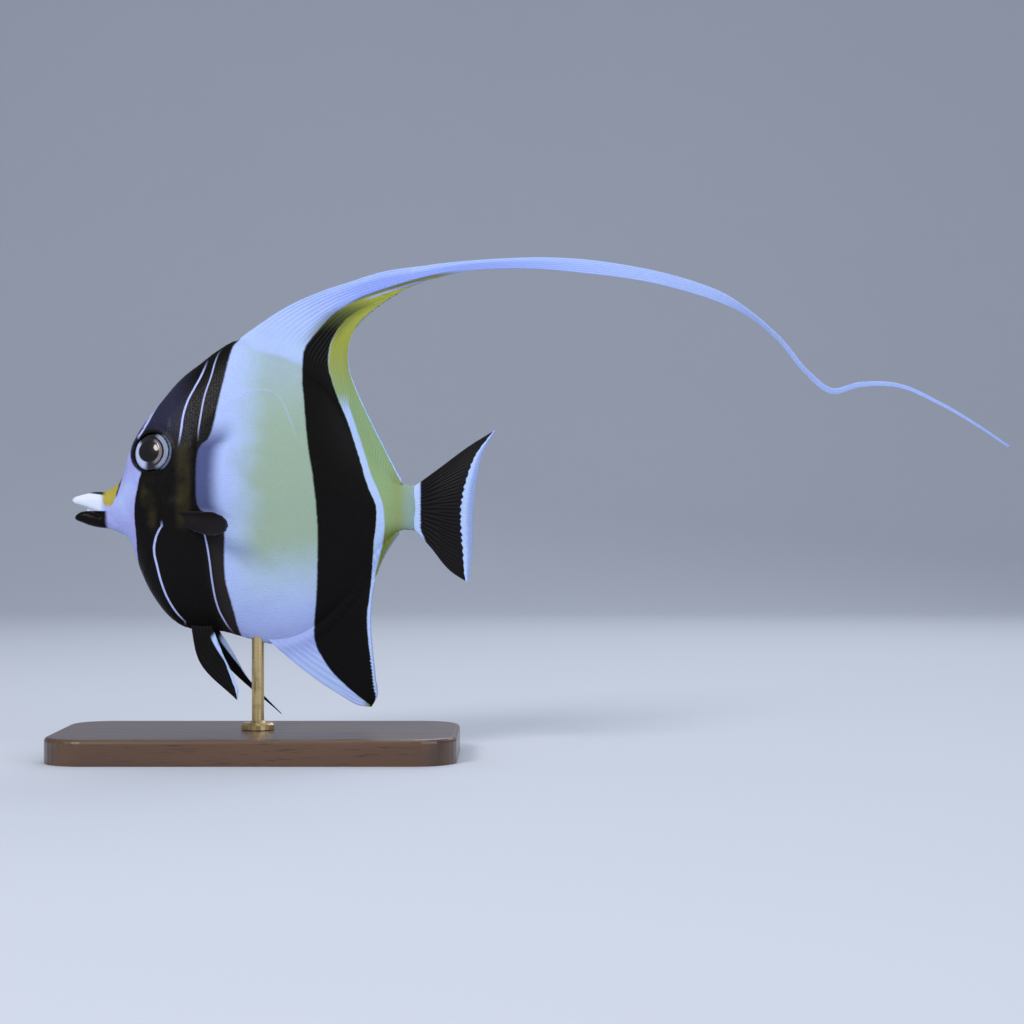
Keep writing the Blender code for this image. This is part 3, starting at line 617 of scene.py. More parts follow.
    def head_black(self, at: Place) -> Signal:
        """The front band's black, with a painted olive sheen on the cheek, brown behind and a dusky
        crown.
        """
        w, x, z = at.w, at.x, at.z
        # A painted olive sheen, mottled, in two patches on the black cheek.
        olive = w.mix(at.cloud.step(0.42, 0.62), NIGHT, CHEEK_OLIVE_SHEEN)
        front = x.step(-45.5, -42.5) * x.step(-37.0, -40.0) * z.step(110.0, 102.0)
        rear = x.step(-31.5, -28.0) * x.step(-23.5, -26.0) * (z.step(126.0, 118.0) * 0.7)
        head = w.mix(w.math("MAXIMUM", front, rear) * z.step(86.0, 93.0), NIGHT, olive)
        brown = at.between(shifted(self.head_rear, -5.0), self.head_rear, (3.5, 1.0))
        head = w.mix(brown * z.step(90.0, 82.0) * 0.4, head, REAR_BROWN)
        return w.mix(z.step(118.0, 132.0) * x.step(-22.0, -34.0) * 0.4, head, DUSK)

    def snout(self, at: Place, colour: Signal) -> Signal:
        """The lavender face, the ochre saddle, the white upper lip, the chin and the eye's rim with
        its painted pale highlight behind.
        """
        w, x, z = at.w, at.x, at.z
        face = w.mix(at.cloud.step(0.4, 0.75) * 0.6, FACE_LILAC, PALE)
        face = w.mix(z.step(116.0, 126.0) * 0.8, face, DUSK)
        face = w.mix(abs(at.y).step(1.5, 0.7) * z.step(101.0, 106.0) * 0.8, face, DUSK)
        colour = w.mix(at.past(self.head_front).step(0.35, -0.35), colour, face)
        edge = at.between(shifted(self.saddle_front, -0.9), shifted(self.saddle_rear, 0.7), (0.3, 0.3))
        colour = w.mix(edge * z.step(99.5, 102.0) * 0.9, colour, NIGHT)
        saddle = at.between(self.saddle_front, self.saddle_rear, (0.3, 0.3))
        colour = w.mix(saddle * z.step(*self.saddle_span), colour, SADDLE_OCHRE)
        colour = self.upper_lip.over(at, colour)
        jaw_ridge = x.scaled(0.13, z).step(93.2, 93.8) * x.step(-58.5, -60.5)
        colour = self.chin.over(at, w.mix(jaw_ridge, colour, NIGHT))
        across, up = x - self.eye_at[0], z - self.eye_at[1]
        from_eye = w.distance(across, up)
        colour = w.mix(from_eye.step(self.eye_ring[1], self.eye_ring[0]), colour, NIGHT)
        # A painted pale highlight on the rear half of the eye's rim.
        rim = from_eye.step(7.2, 7.6) * from_eye.step(8.4, 8.0)
        facing_back = w.math("DIVIDE", across, from_eye).step(0.45, 0.7)
        return w.mix(rim * facing_back * 0.8, colour, PAINTED_RIM_HIGHLIGHT)


@dataclass(frozen=True)
class Finish(ABC):
    """The finish of one material."""

    name: str

    @abstractmethod
    def inputs(self, w: Wiring, place: Signal) -> dict[str, Value]:
        """What the shader's inputs are linked or set to, from object coordinates."""

    def build(self) -> bpy.types.Material:
        """Makes the material."""
        material = bpy.data.materials.new(self.name)
        material.use_nodes = True
        w = Wiring(material.node_tree)
        shader = material.node_tree.nodes["Principled BSDF"]
        for key, value in self.inputs(w, w.place()).items():
            w.plug(shader.inputs[key], value)
        return material


@dataclass(frozen=True)
class SkinFinish(Finish):
    """Satin fish skin with fine scales, in the species' markings.

    Attributes:
        markings: The species' markings.
        scale_step: Size of the finest scales in millimetres.
        scale_depth: How deep the joints between them look.
        gloss: The specular level.
    """

    markings: bpy.types.NodeTree
    scale_step: float = 0.95
    scale_depth: float = 0.05
    gloss: float = 0.09

    def inputs(self, w: Wiring, place: Signal) -> dict[str, Value]:
        """Wires the markings, the fine scales and the sheen."""
        cells = w.made("ShaderNodeTexVoronoi", "Distance",
                       {"Vector": w.stretched(place, (1.0, 0.8, 1.15)),
                        "Scale": 1 / (self.scale_step * MM)}, feature="F1", distance="EUCLIDEAN")
        return {"Base Color": w.made("ShaderNodeGroup", "Color", node_tree=self.markings),
                "Roughness": w.noise(place, 900.0).scaled(0.16, 0.28),
                "Normal": w.bump(cells, self.scale_depth, 0.6), "Specular IOR Level": self.gloss,
                "Subsurface Weight": 0.08, "Subsurface Scale": 0.0012}


@dataclass(frozen=True)
class FinFinish(Finish):
    """Thin satin membrane over raised rays.

    Attributes:
        markings: The species' markings, or None for a fin in one colour.
        membrane: The fin's colour where the markings don't give it.
        ray: The rays' colour there.
        ray_tint: What the markings' colour is multiplied by between the rays.
        margin: Width of the white margin in millimetres, or nought.
        notch: How far each ray runs out into the margin, in millimetres.
        pale_root: x up to which the fin keeps the white of the body's end, or None.
        clear: Width of the see-through outer edge in millimetres, or nought.
        clear_alpha: How solid that edge stays.
        film: The colour that the clear edge turns to.
        streak: Shares across the fin where a pale streak starts and is full, or None.
        scallops: How many bays the inner edge of the margin has, or nought to follow the rays.
        inner: Where it turns lavender: shares across it, then along it, or None.
        gloss: The specular level.
    """

    markings: bpy.types.NodeTree | None = None
    membrane: Colour = NIGHT
    ray: Colour = NIGHT
    ray_tint: Colour = (0.66, 0.67, 0.93)
    margin: float = 0.0
    notch: float = 0.0
    pale_root: float | None = None
    clear: float = 0.0
    clear_alpha: float = 0.55
    film: Colour = FILM_BLUE
    streak: Point2 | None = None
    scallops: int = 0
    inner: tuple[Point2, Point2, Point2] | None = None
    gloss: float = 0.09

    def ground(self, w: Wiring, ray: Signal) -> Signal:
        """The colour before the root, the streak and the edges are drawn."""
        if self.markings is None:
            return w.mix(ray, self.membrane, self.ray)
        marks = w.made("ShaderNodeGroup", "Color", node_tree=self.markings)
        colour = w.mix(w.math("SUBTRACT", 1.0, ray), marks, self.ray_tint, "MULTIPLY")
        if not self.inner:
            return colour
        across = w.number("across")
        share = across.step(*self.inner[0]) * across.step(*self.inner[1])
        share = share * w.number("along").step(*self.inner[2])
        return w.mix(share * 0.8, colour, w.mix(1.0, colour, self.ray_tint, "MULTIPLY"))

    def bays(self, w: Wiring, place: Signal, ray: Signal) -> Signal:
        """How far each place of the margin's inner edge swings outwards, 0 to 1."""
        if not self.scallops:
            return ray
        drift = w.noise(place, 120.0) * 9.0
        turn = w.number("across").scaled(self.scallops * 2 * math.pi, drift)
        return w.math("SINE", turn).scaled(0.5, 0.5)

    def keep_root(self, w: Wiring, place: Signal, ray: Signal, ragged: Signal) -> Signal:
        """A mask of the fin's root, with an uneven edge that lies further out below."""
        x, _, z = w.axes(place)
        reach = ray.scaled(-0.15, ragged * 0.5)
        x = x.scaled(1 / MM, reach * -1.0)
        x = z.step(0.0885, 0.083).scaled(-1.8, x)
        return x.step(self.pale_root + 0.4, self.pale_root - 0.4)

    def inputs(self, w: Wiring, place: Signal) -> dict[str, Value]:
        """Wires the rays, the streak, the margin, the clear edge and the sheen."""
        ray, to_margin = w.number("ray"), w.number("to_margin")
        ragged = w.noise(place, 900.0).scaled(0.8, -0.4)
        found: dict[str, Value] = {}
        colour = self.ground(w, ray)
        if self.pale_root is not None:
            colour = w.mix(self.keep_root(w, place, ray, ragged), colour, PALE)
        if self.streak:
            along = w.number("along")
            trailing = w.number("across").step(*self.streak) * along.step(0.25, 0.4)
            colour = w.mix(trailing * along.step(0.99, 0.86), colour, PALE)
        if self.margin:
            inward = to_margin + self.bays(w, place, ray).scaled(self.notch, ragged)
            colour = w.mix(inward.step(self.margin + 0.25, self.margin - 0.25), colour, PALE)
        if self.clear:
            seen = to_margin.step(self.clear * 0.2, self.clear * 1.1)
            colour = w.mix(seen.scaled(-0.7, 0.7), colour, self.film)
            found["Alpha"] = seen.scaled(1 - self.clear_alpha, self.clear_alpha)
        fibres = w.noise(place, 1400.0, 3.0)
        return {**found, "Base Color": colour, "Roughness": fibres.scaled(0.2, 0.32),
                "Normal": w.bump(fibres, 0.04, 0.5), "Specular IOR Level": self.gloss,
                "Subsurface Weight": 0.15, "Subsurface Scale": 0.001}


@dataclass(frozen=True)
class EyeFinish(Finish):
    """A wet eye: black pupil, banded iris, pale in front and ringed behind.

    Attributes:
        pupil_at: (x, z) of the pupil's middle.
        front_pale: The pale sickle's colour in front of the pupil.
        front_turn: Which way that sickle lies, in degrees.
        facing: Cosines of the angle from a patch's middle where it starts and is full.
        rear_grey, rear_pale: Colours of the inner and the outer ring behind the pupil.
    """

    pupil_at: Point2 = (-41.2, 118.0)
    front_pale: Colour = (0.48, 0.56, 0.82)
    front_turn: float = 198.0
    facing: Point2 = (0.30, 0.66)
    rear_grey: Colour = (0.20, 0.165, 0.17)
    rear_pale: Colour = (0.26, 0.30, 0.42)

    def inputs(self, w: Wiring, place: Signal) -> dict[str, Value]:
        """Wires the iris and the clear coat."""
        x, _, z = w.axes(place)
        across, up = x * (1 / MM) - self.pupil_at[0], z * (1 / MM) - self.pupil_at[1]
        turn = w.math("ARCTAN2", up, across)
        fibre = w.noise(w.stretched(place, (1.0, 0.2, 1.0)), 2600.0, 2.0)
        out = w.distance(across, up) + fibre.scaled(0.5, -0.25)
        front = w.math("COSINE", turn - math.radians(self.front_turn)).step(*self.facing)
        rear = w.math("COSINE", turn).step(*self.facing)
        inner = out.step(4.1, 4.4) * out.step(5.6, 5.2)
        outer = out.step(6.0, 6.3) * out.step(8.0, 7.5)
        sickle = out.step(3.8, 4.4) * out.step(7.4, 6.8)
        colour = w.mix(rear * inner, NIGHT, self.rear_grey)
        colour = w.mix(rear * outer, colour, self.rear_pale)
        return {"Base Color": w.mix(front * sickle, colour, self.front_pale), "Roughness": 0.25,
                "Specular IOR Level": 0.1, "Coat Weight": 0.8, "Coat Roughness": 0.03}


@dataclass(frozen=True)
class WoodFinish(Finish):
    """Dark stained hardwood with its grain along x."""

    dark: Colour = (0.035, 0.016, 0.008)
    light: Colour = (0.13, 0.062, 0.028)

    def inputs(self, w: Wiring, place: Signal) -> dict[str, Value]:
        """Wires the rings, the pores and the varnish."""
        drift = w.noise(w.stretched(place, (8.0, 60.0, 60.0)), 1.0, 4.0)
        rings = w.made("ShaderNodeTexWave", "Fac",
                       {"Vector": w.stretched(place, (0.06, 1.0, 1.3)), "Scale": 26.0,
                        "Distortion": 11.0, "Detail": 3.0}, wave_type="BANDS", bands_direction="Y")
        pores = w.noise(w.stretched(place, (90.0, 2200.0, 2200.0)), 1.0, 2.0)
        colour = w.mix((drift + rings) * 0.5, self.dark, self.light)
        return {"Base Color": w.mix(pores.step(0.62, 0.72), colour, self.dark),
                "Roughness": pores.scaled(0.2, 0.25), "Normal": w.bump(pores, 0.05, 0.35),
                "Coat Weight": 0.4, "Coat Roughness": 0.2}


@dataclass(frozen=True)
class BrassFinish(Finish):
    """Satin brass with fine turning marks."""

    colour: Colour = (0.66, 0.50, 0.24)
    tarnish: float = 0.62

    def inputs(self, w: Wiring, place: Signal) -> dict[str, Value]:
        """Wires the tarnish and the turning marks."""
        marks = w.noise(w.stretched(place, (60.0, 60.0, 5200.0)), 1.0, 2.0)
        dull = tuple(self.tarnish * part for part in self.colour)
        dulled = w.noise(place, 180.0, 4.0).step(0.5, 0.75)
        return {"Base Color": w.mix(dulled, self.colour, dull), "Roughness": marks.scaled(0.2, 0.2),
                "Normal": w.bump(marks, 0.02, 0.3), "Metallic": 1.0}


@dataclass(frozen=True)
class PaintFinish(Finish):
    """Matt paint, faintly uneven."""

    colour: Colour
    paler: float = 1.04

    def inputs(self, w: Wiring, place: Signal) -> dict[str, Value]:
        """Wires the two shades of the paint."""
        pale = tuple(self.paler * part for part in self.colour)
        return {"Base Color": w.mix(w.noise(place, 3.0, 2.0), self.colour, pale), "Roughness": 0.8}


# The fish


@dataclass(frozen=True)
class Crease:
    """A raised or sunk line in the skin of both flanks.

    Attributes:
        points: (x, z) along it.
        height: How high it stands in millimetres, below nought where it is sunk.
        width: Its spread to each side in millimetres.
        samples: Points that stand for the line.
        fading: How many of them it fades over at each end.
    """

    points: Line
    height: float
    width: float
    samples: int = 160
    fading: int = 14

    def lift(self, places: np.ndarray) -> np.ndarray:
        """How much the line lifts the skin at each place."""
        path = smooth_line(self.points, self.samples)
        low, high = path.min(axis=0) - 3 * self.width, path.max(axis=0) + 3 * self.width
        side = places[:, (0, 2)]
        near = np.flatnonzero(np.all((side > low) & (side < high), axis=1))
        away = np.linalg.norm(side[near, None] - path[None], axis=2)
        nearest = away.argmin(axis=1)
        ends = eased(np.minimum(nearest, self.samples - 1 - nearest) / self.fading)
        lifted = np.zeros(len(places))
        lifted[near] = self.height * bell(away.min(axis=1), self.width) * ends
        return lifted


@dataclass(frozen=True)
class Body:
    """The fish's flesh: head, jaws, trunk and the tail's wrist under one skin."""

    back: Line = (
        (-60.3, 102.5), (-57.6, 103.5), (-55.2, 105.1), (-53.2, 107.4), (-51.8, 111.2),
        (-50.4, 116.9), (-49.0, 120.8), (-47.1, 124.7), (-44.0, 129.4), (-40.1, 134.4),
        (-35.4, 140.3), (-30.3, 146.1), (-22.6, 152.3), (-14.8, 158.2), (-8.6, 161.4),
        (-3.6, 161.0), (3.0, 157.6), (17.1, 152.3), (28.0, 144.1), (39.7, 126.6),
        (50.0, 110.5), (55.2, 106.2), (61.9, 105.2))
    belly: Line = (
        (-60.3, 88.5), (-57.6, 87.9), (-53.7, 86.6), (-51.3, 85.4), (-49.6, 83.4),
        (-48.2, 80.4), (-46.7, 75.3), (-44.0, 68.3), (-38.1, 58.2), (-30.3, 50.8),
        (-24.0, 48.8), (-14.0, 48.2), (-5.8, 46.0), (6.6, 43.2), (12.4, 43.8),
        (20.2, 46.9), (28.0, 52.7), (35.8, 61.3), (47.5, 80.0), (54.0, 86.8), (61.9, 87.4))
    half_width: Line = (
        (-60.3, 3.2), (-53.7, 4.1), (-49.8, 5.8), (-45.9, 7.6), (-40.5, 9.8), (-34.2, 11.6),
        (-26.5, 12.8), (-18.7, 13.3), (-7.0, 13.1), (4.7, 12.2), (16.3, 10.8), (28.0, 8.8),
        (39.7, 6.3), (49.4, 4.1), (55.2, 3.1), (61.9, 2.7))
    keel: Line = (
        (-60.3, 1.0), (-50.0, 1.05), (-35.0, 1.2), (0.0, 1.3), (40.0, 1.2), (61.9, 1.0))
    gill_edge: Line = (
        (-18.0, 175.0), (-19.8, 157.0), (-22.4, 140.0), (-24.0, 130.0), (-23.4, 122.0),
        (-22.3, 114.0), (-22.2, 107.0), (-23.5, 101.2), (-26.8, 97.4), (-31.1, 94.2),
        (-35.0, 90.0), (-38.3, 83.9), (-41.6, 75.3), (-45.2, 66.0), (-52.0, 40.0))
    upper_jaw: tuple[tuple[float, ...], ...] = (
        (-57.0, 102.0, 94.0, 2.8), (-60.6, 102.6, 93.6, 3.1), (-63.4, 102.6, 94.7, 3.0),
        (-66.5, 101.9, 96.1, 2.7), (-69.2, 101.2, 97.2, 2.3), (-71.3, 100.5, 98.0, 1.6),
        (-72.3, 99.8, 98.7, 0.7))
    lower_jaw: tuple[tuple[float, ...], ...] = (
        (-57.0, 93.6, 89.5, 2.6), (-60.6, 93.1, 88.5, 3.0), (-63.4, 94.2, 88.9, 2.9),
        (-66.0, 94.9, 89.6, 2.6), (-68.4, 94.9, 90.6, 2.2), (-70.2, 94.0, 91.2, 1.5),
        (-71.4, 92.8, 91.9, 0.7))
    nostrils: tuple[Point3, ...] = ((-48.9, 114.9, 0.75), (-47.3, 112.9, 0.55))
    nostril_tube: float = 0.32
    eye_at: Point2 = EYE_AT
    eye_radius: float = 7.7
    eye_depth: float = 3.6
    eye_sink: float = 1.7
    socket_gap: float = 0.25
    rim_radius: float = 8.15
    rim_tube: float = 0.6
    rim_sink: float = 0.35
    lip_rise: float = 0.4
    lip_spread: float = 0.34
    upper_lip_angle: float = 2.25
    lower_lip_angle: float = 0.85
    gill_rise: float = 0.55
    gill_blend: float = 7.0
    gill_fade: Point2 = (128.0, 119.0)
    creases: tuple[Crease, ...] = (
        Crease(((-21.0, 126.0), (-18.0, 131.0), (-14.0, 134.8), (-7.0, 139.1), (0.0, 141.8),
                (5.0, 141.6), (9.3, 138.7), (13.2, 130.5), (17.0, 120.0), (24.0, 109.0),
                (36.0, 100.5), (50.0, 97.0), (60.0, 96.0)), 0.1, 1.4),
        Crease(((-9.0, 162.5), (-4.3, 160.6), (1.6, 157.0), (8.6, 155.0), (15.2, 152.0),
                (24.0, 145.5), (33.0, 134.0), (44.0, 116.0)), -0.1, 1.2),
        Crease(((-31.5, 112.0), (-33.4, 106.0), (-34.6, 100.0), (-37.0, 94.5), (-41.0, 88.0)),
               -0.3, 0.9),
        Crease(((-58.0, 94.2), (-56.2, 92.4), (-54.6, 89.8)), -0.28, 0.7),
        Crease(((-52.5, 101.0), (-50.5, 96.5), (-49.8, 91.0)), -0.16, 1.2),
        Crease(((-36.5, 96.6), (-32.0, 97.8), (-27.6, 96.6)), 0.3, 2.4),
        Crease(((-33.0, 128.5), (-38.5, 128.6), (-43.5, 125.4)), 0.3, 2.2),
    )
    fine_stations: int = 3000
    stations: int = 190
    points_round: int = 220
    jaw_stations: int = 50
    jaw_points_round: int = 48
    voxel: float = 0.55

    def section(self, x: np.ndarray | float) -> tuple[np.ndarray, ...]:
        """Middle z, half-height, half-width and keel of the body at x."""
        top, bottom = table_at(self.back, x), table_at(self.belly, x)
        width, keel = table_at(self.half_width, x), table_at(self.keel, x)
        return (top + bottom) / 2, (top - bottom) / 2, width, keel

    def half_width_at(self, x: np.ndarray | float, z: np.ndarray | float) -> np.ndarray:
        """How far the skin stands from the middle plane at (x, z)."""
        middle, half, width, keel = self.section(x)
        across = np.clip((z - middle) / half, -0.999, 0.999)
        return width * (1 - across**2) ** (keel / 2)

    @staticmethod
    def outline(edge: Line, places: np.ndarray) -> np.ndarray:
        """Height of the back's or the belly's line at places, held beyond its ends."""
        return table_at(edge, np.clip(places[..., 0], edge[0][0], edge[-1][0]))

    def skin_frame(self, x: float, z: float, side: Side) -> tuple[Vector, Vector]:
        """The point of the skin at (x, z) on one side, in millimetres, and its outward normal."""
        step = 0.5
        lean_x = (self.half_width_at(x + step, z) - self.half_width_at(x - step, z)) / (2 * step)
        lean_z = (self.half_width_at(x, z + step) - self.half_width_at(x, z - step)) / (2 * step)
        point = Vector((x, side.value * float(self.half_width_at(x, z)), z))
        return point, Vector((-lean_x, side.value, -lean_z)).normalized()

    def facing(self, x: float, z: float, side: Side, sink: float) -> Matrix:
        """A matrix in metres whose local +Z is the skin's normal at (x, z), set this deep."""
        point, normal = self.skin_frame(x, z, side)
        turned = normal.to_track_quat("Z", "Y").to_matrix().to_4x4()
        return Matrix.Translation((point - normal * sink) * MM) @ turned

    def ahead_of_gill(self, x: np.ndarray, z: np.ndarray) -> np.ndarray:
        """How far each place lies ahead of the gill cover's free edge."""
        line = sorted((edge_z, edge_x) for edge_x, edge_z in self.gill_edge)
        return table_at(tuple(line), z) - x

    def flank_rings(self) -> np.ndarray:
        """Cross-sections of the body, closer together where its outline turns steep."""
        fine = np.linspace(self.back[0][0], self.back[-1][0], self.fine_stations)
        pace = np.sqrt(np.diff(fine) ** 2 + 0.5 * (np.diff(table_at(self.back, fine)) ** 2
                                                   + np.diff(table_at(self.belly, fine)) ** 2))
        walk = np.concatenate([[0], np.cumsum(pace)])
        x = np.interp(np.linspace(0, walk[-1], self.stations), walk, fine)[:, None]
        angle = np.linspace(0, 2 * math.pi, self.points_round, endpoint=False)[None, :]
        middle, half, width, keel = self.section(x)
        z = middle + half * np.cos(angle)
        y = width * np.sign(np.sin(angle)) * np.abs(np.sin(angle)) ** keel
        ahead = self.ahead_of_gill(x, z)
        cover = bell(np.maximum(ahead, 0), self.gill_blend) * eased(ahead / 0.6 + 0.5)
        upper = np.clip((self.gill_fade[0] - z) / (self.gill_fade[0] - self.gill_fade[1]), 0, 1)
        y = y + np.sign(y) * self.gill_rise * cover * upper * np.abs(np.sin(angle))
        return np.stack([x + 0 * y, y, z], axis=2)

    def jaw_rings(self, table: tuple[tuple[float, ...], ...], lip_angle: float) -> np.ndarray:
        """Cross-sections of one jaw, with a lip along the gape."""
        table = np.array(table)
        ahead = -table[:, 0]
        angle = np.linspace(0, 2 * math.pi, self.jaw_points_round, endpoint=False)
        from_lip = np.minimum(angle, 2 * math.pi - angle) - lip_angle
        rings = []
        for at in np.linspace(ahead[0], ahead[-1], self.jaw_stations):
            top, bottom, width = (curve_at(ahead, table[:, k], at) for k in (1, 2, 3))
            lip = self.lip_rise * bell(from_lip, self.lip_spread) * width / table[1][3]
            across = (width + lip) * np.sin(angle)
            upward = (top + bottom) / 2 + ((top - bottom) / 2 + lip) * np.cos(angle)
            rings.append(np.stack([np.full_like(across, -at), across, upward], axis=1))
        return np.array(rings)

    def ring_round(self, at: Matrix, radius: float, tube: float) -> bpy.types.Object:
        """Adds a small torus at a place on the skin."""
        ring = added(bpy.ops.mesh.primitive_torus_add, major_segments=64, minor_segments=14,
                     major_radius=radius * MM, minor_radius=tube * MM)
        ring.data.transform(at)
        return ring

    def socket_cutter(self, side: Side) -> bpy.types.Object:
        """Adds the flattened ball that presses an eye socket."""
        ball = added(bpy.ops.mesh.primitive_uv_sphere_add, segments=64, ring_count=32, radius=1.0)
        radius, depth = self.eye_radius + self.socket_gap, self.eye_depth + self.socket_gap
        squash = Matrix.Diagonal((radius * MM, radius * MM, depth * MM, 1.0))
        ball.data.transform(self.facing(*self.eye_at, side, self.eye_sink) @ squash)
        return ball

    def build_skin(self) -> bpy.types.Object:
        """Fuses flanks, jaws, eye rims and nostrils into one seamless skin.

        Returns:
            The skin, with its socket for each eye.
        """
        pieces = [rolled_piece("flanks", self.flank_rings()),
                  rolled_piece("upper_lip", self.jaw_rings(self.upper_jaw, self.upper_lip_angle)),
                  rolled_piece("lower_lip", self.jaw_rings(self.lower_jaw, self.lower_lip_angle))]
        for side in Side:
            rim_at = self.facing(*self.eye_at, side, self.rim_sink)
            pieces.append(self.ring_round(rim_at, self.rim_radius, self.rim_tube))
            for x, z, radius in self.nostrils:
                pieces.append(self.ring_round(self.facing(x, z, side, 0.0), radius,
                                              self.nostril_tube))
        skin = joined("skin", pieces)
        apply_modifier(skin, "REMESH", mode="VOXEL", voxel_size=self.voxel * MM)
        for side in Side:
            cutter = self.socket_cutter(side)
            apply_modifier(skin, "BOOLEAN", operation="DIFFERENCE", object=cutter, solver="EXACT")
            bpy.data.objects.remove(cutter)
        apply_modifier(skin, "REMESH", mode="VOXEL", voxel_size=self.voxel * MM)
        apply_modifier(skin, "SMOOTH", factor=0.5, iterations=4)
        places = vertex_places(skin)
        lift = sum(crease.lift(places) for crease in self.creases)
        away = np.hypot(places[:, 0] - self.eye_at[0], places[:, 2] - self.eye_at[1])
        lift = lift * eased((away - self.rim_radius) / 2.0)
        normals = vectors_of(skin.data.vertex_normals, "vector")
        move_vertices(skin, places + normals * lift[:, None])
        apply_modifier(skin, "SMOOTH", factor=0.5, iterations=2)
        return skin

    def build_eye(self, side: Side, name: str) -> bpy.types.Object:
        """Models one eye: a flattened ball with a domed pupil and a ringed iris."""
        eye = added(bpy.ops.mesh.primitive_uv_sphere_add, segments=96, ring_count=64, radius=1.0)
        eye.name = eye.data.name = name
        places = vertex_places(eye) * MM
        out = np.hypot(places[:, 0], places[:, 1])
        upper = places[:, 2] > 0
        ridge = 0.035 * bell(out - 0.56, 0.05) - 0.02 * bell(out - 0.72, 0.06)
        places[:, 2] += np.where(upper, ridge, 0.0)
        places *= (self.eye_radius, self.eye_radius, self.eye_depth)
        move_vertices(eye, places)
        eye.data.transform(self.facing(*self.eye_at, side, self.eye_sink))
        return eye


@dataclass(frozen=True)
class ScaleCoat:
    """Tiny overlapping scales over the flanks and the head, lying towards the tail.

    Attributes:
        body: The body that they cover.
        skin: The finished skin that they stand on.
        spacing: Distance between scales along and across the body, in millimetres.
        size: Length and width of a scale.
        rise: Height of its crown over the skin.
        sink: How deep its edge lies in the skin.
        bare: Reach round the eye that has no scales.
        near: How close to its place the skin has to lie for a scale to stand there.
        strewn: How far a scale strays along the body, in millimetres, and across, in spacings.
        grown: Smallest and largest scale, as shares of the size.
        first_x: Where the first row stands.
        patch: Width of a scale's patch in the bake's map.
    """

    body: Body
    skin: bpy.types.Object
    spacing: Point2 = (1.02, 0.92)
    size: Point2 = (1.5, 1.15)
    rise: float = 0.06
    sink: float = 0.05
    bare: float = 9.4
    near: float = 0.9
    strewn: Point2 = (0.22, 0.2)
    grown: Point2 = (0.88, 1.12)
    first_x: float = -54.0
    patch: float = 0.003
    seed: int = 17
    corners: tuple[Point3, ...] = (
        (-0.5, 0.0, 0.0), (0.0, -0.5, 0.0), (0.5, 0.0, 0.0), (0.0, 0.5, 0.0), (0.16, 0.0, 1.0))
    faces: tuple[tuple[int, int, int], ...] = (
        (0, 1, 4), (1, 2, 4), (2, 3, 4), (3, 0, 4), (0, 3, 2), (0, 2, 1))

    def roots(self) -> np.ndarray:
        """Where scales may stand: (x, y, z, share along, share round), shaped (count, 5)."""
        rings = self.body.flank_rings()
        x = rings[:, 0, 0]
        rows = np.arange(self.first_x, x[-1] - 1.0, self.spacing[0])
        rng = np.random.default_rng(self.seed)
        stray, slide = self.strewn
        found = []
        for k, at in enumerate(rows):
            i = min(int(np.searchsorted(x, at)), len(x) - 1)
            share = (at - x[i - 1]) / (x[i] - x[i - 1])
            ring = rings[i - 1] * (1 - share) + rings[i] * share
            ring = np.concatenate([ring, ring[:1]])
            walk = walked(ring)
            count = int(walk[-1] / self.spacing[1])
            slid = 0.5 * (k % 2) + rng.uniform(-slide, slide, count)
            round_shares = (np.arange(count) + slid) / count
            spot = [np.interp(round_shares % 1.0 * walk[-1], walk, column) for column in ring.T]
            spot[0] = spot[0] + rng.uniform(-stray, stray, count)
            along = np.full(count, (at - x[0]) / (x[-1] - x[0]))
            found.append(np.stack([*spot, along, round_shares % 1.0], axis=1))
        found = np.concatenate(found)
        away = np.hypot(found[:, 0] - self.body.eye_at[0], found[:, 2] - self.body.eye_at[1])
        return found[away > self.bare]

    def build(self, side: Side, material: bpy.types.Material) -> None:
        """Sets the scales of one side on the skin and dresses them."""
        tree = BVHTree.FromPolygons([tuple(place) for place in vertex_places(self.skin)],
                                    [tuple(face.vertices) for face in self.skin.data.polygons])
        places, shares = [], []
        for x, y, z, along, turn in self.roots():
            if y * side.value <= 0.0:
                continue
            spot, normal, _, away = tree.find_nearest((x, y, z))
            if away < self.near:
                places.append((*spot, *normal))
                shares.append((along, turn))
        places, shares = np.array(places), np.array(shares)
        spot, normal = places[:, :3], places[:, 3:]
        length = np.array((1.0, 0.0, 0.0)) - normal * normal[:, :1]
        length /= np.linalg.norm(length, axis=1, keepdims=True)
        width = np.cross(normal, length)
        rng = np.random.default_rng(self.seed + int(side.value))
        grown = rng.uniform(*self.grown, len(spot))[:, None]
        long, wide = self.size
        corners = np.stack([spot + grown * (length * along * long + width * across * wide)
                            + normal * (up * (self.rise + self.sink) - self.sink)
                            for along, across, up in self.corners], axis=1)
        faces = np.array(self.faces)[None] + len(self.corners) * np.arange(len(spot))[:, None, None]
        name = f"scale_coat_{side.name.lower()}"
        mesh = bpy.data.meshes.new(name)
        mesh.from_pydata((corners.reshape(-1, 3) * MM).tolist(), [], faces.reshape(-1, 3).tolist())
        offsets = np.array(self.corners)[:, :2][np.array(self.faces).ravel()] * self.patch
        flat = shares[:, None, :] + offsets[None]
        mesh.uv_layers.new(name="OFBake").uv.foreach_set("vector", flat.astype(np.float32).ravel())
        piece = bpy.data.objects.new(name, mesh)
        bpy.context.scene.collection.objects.link(piece)
        dress(piece, material, "skin")


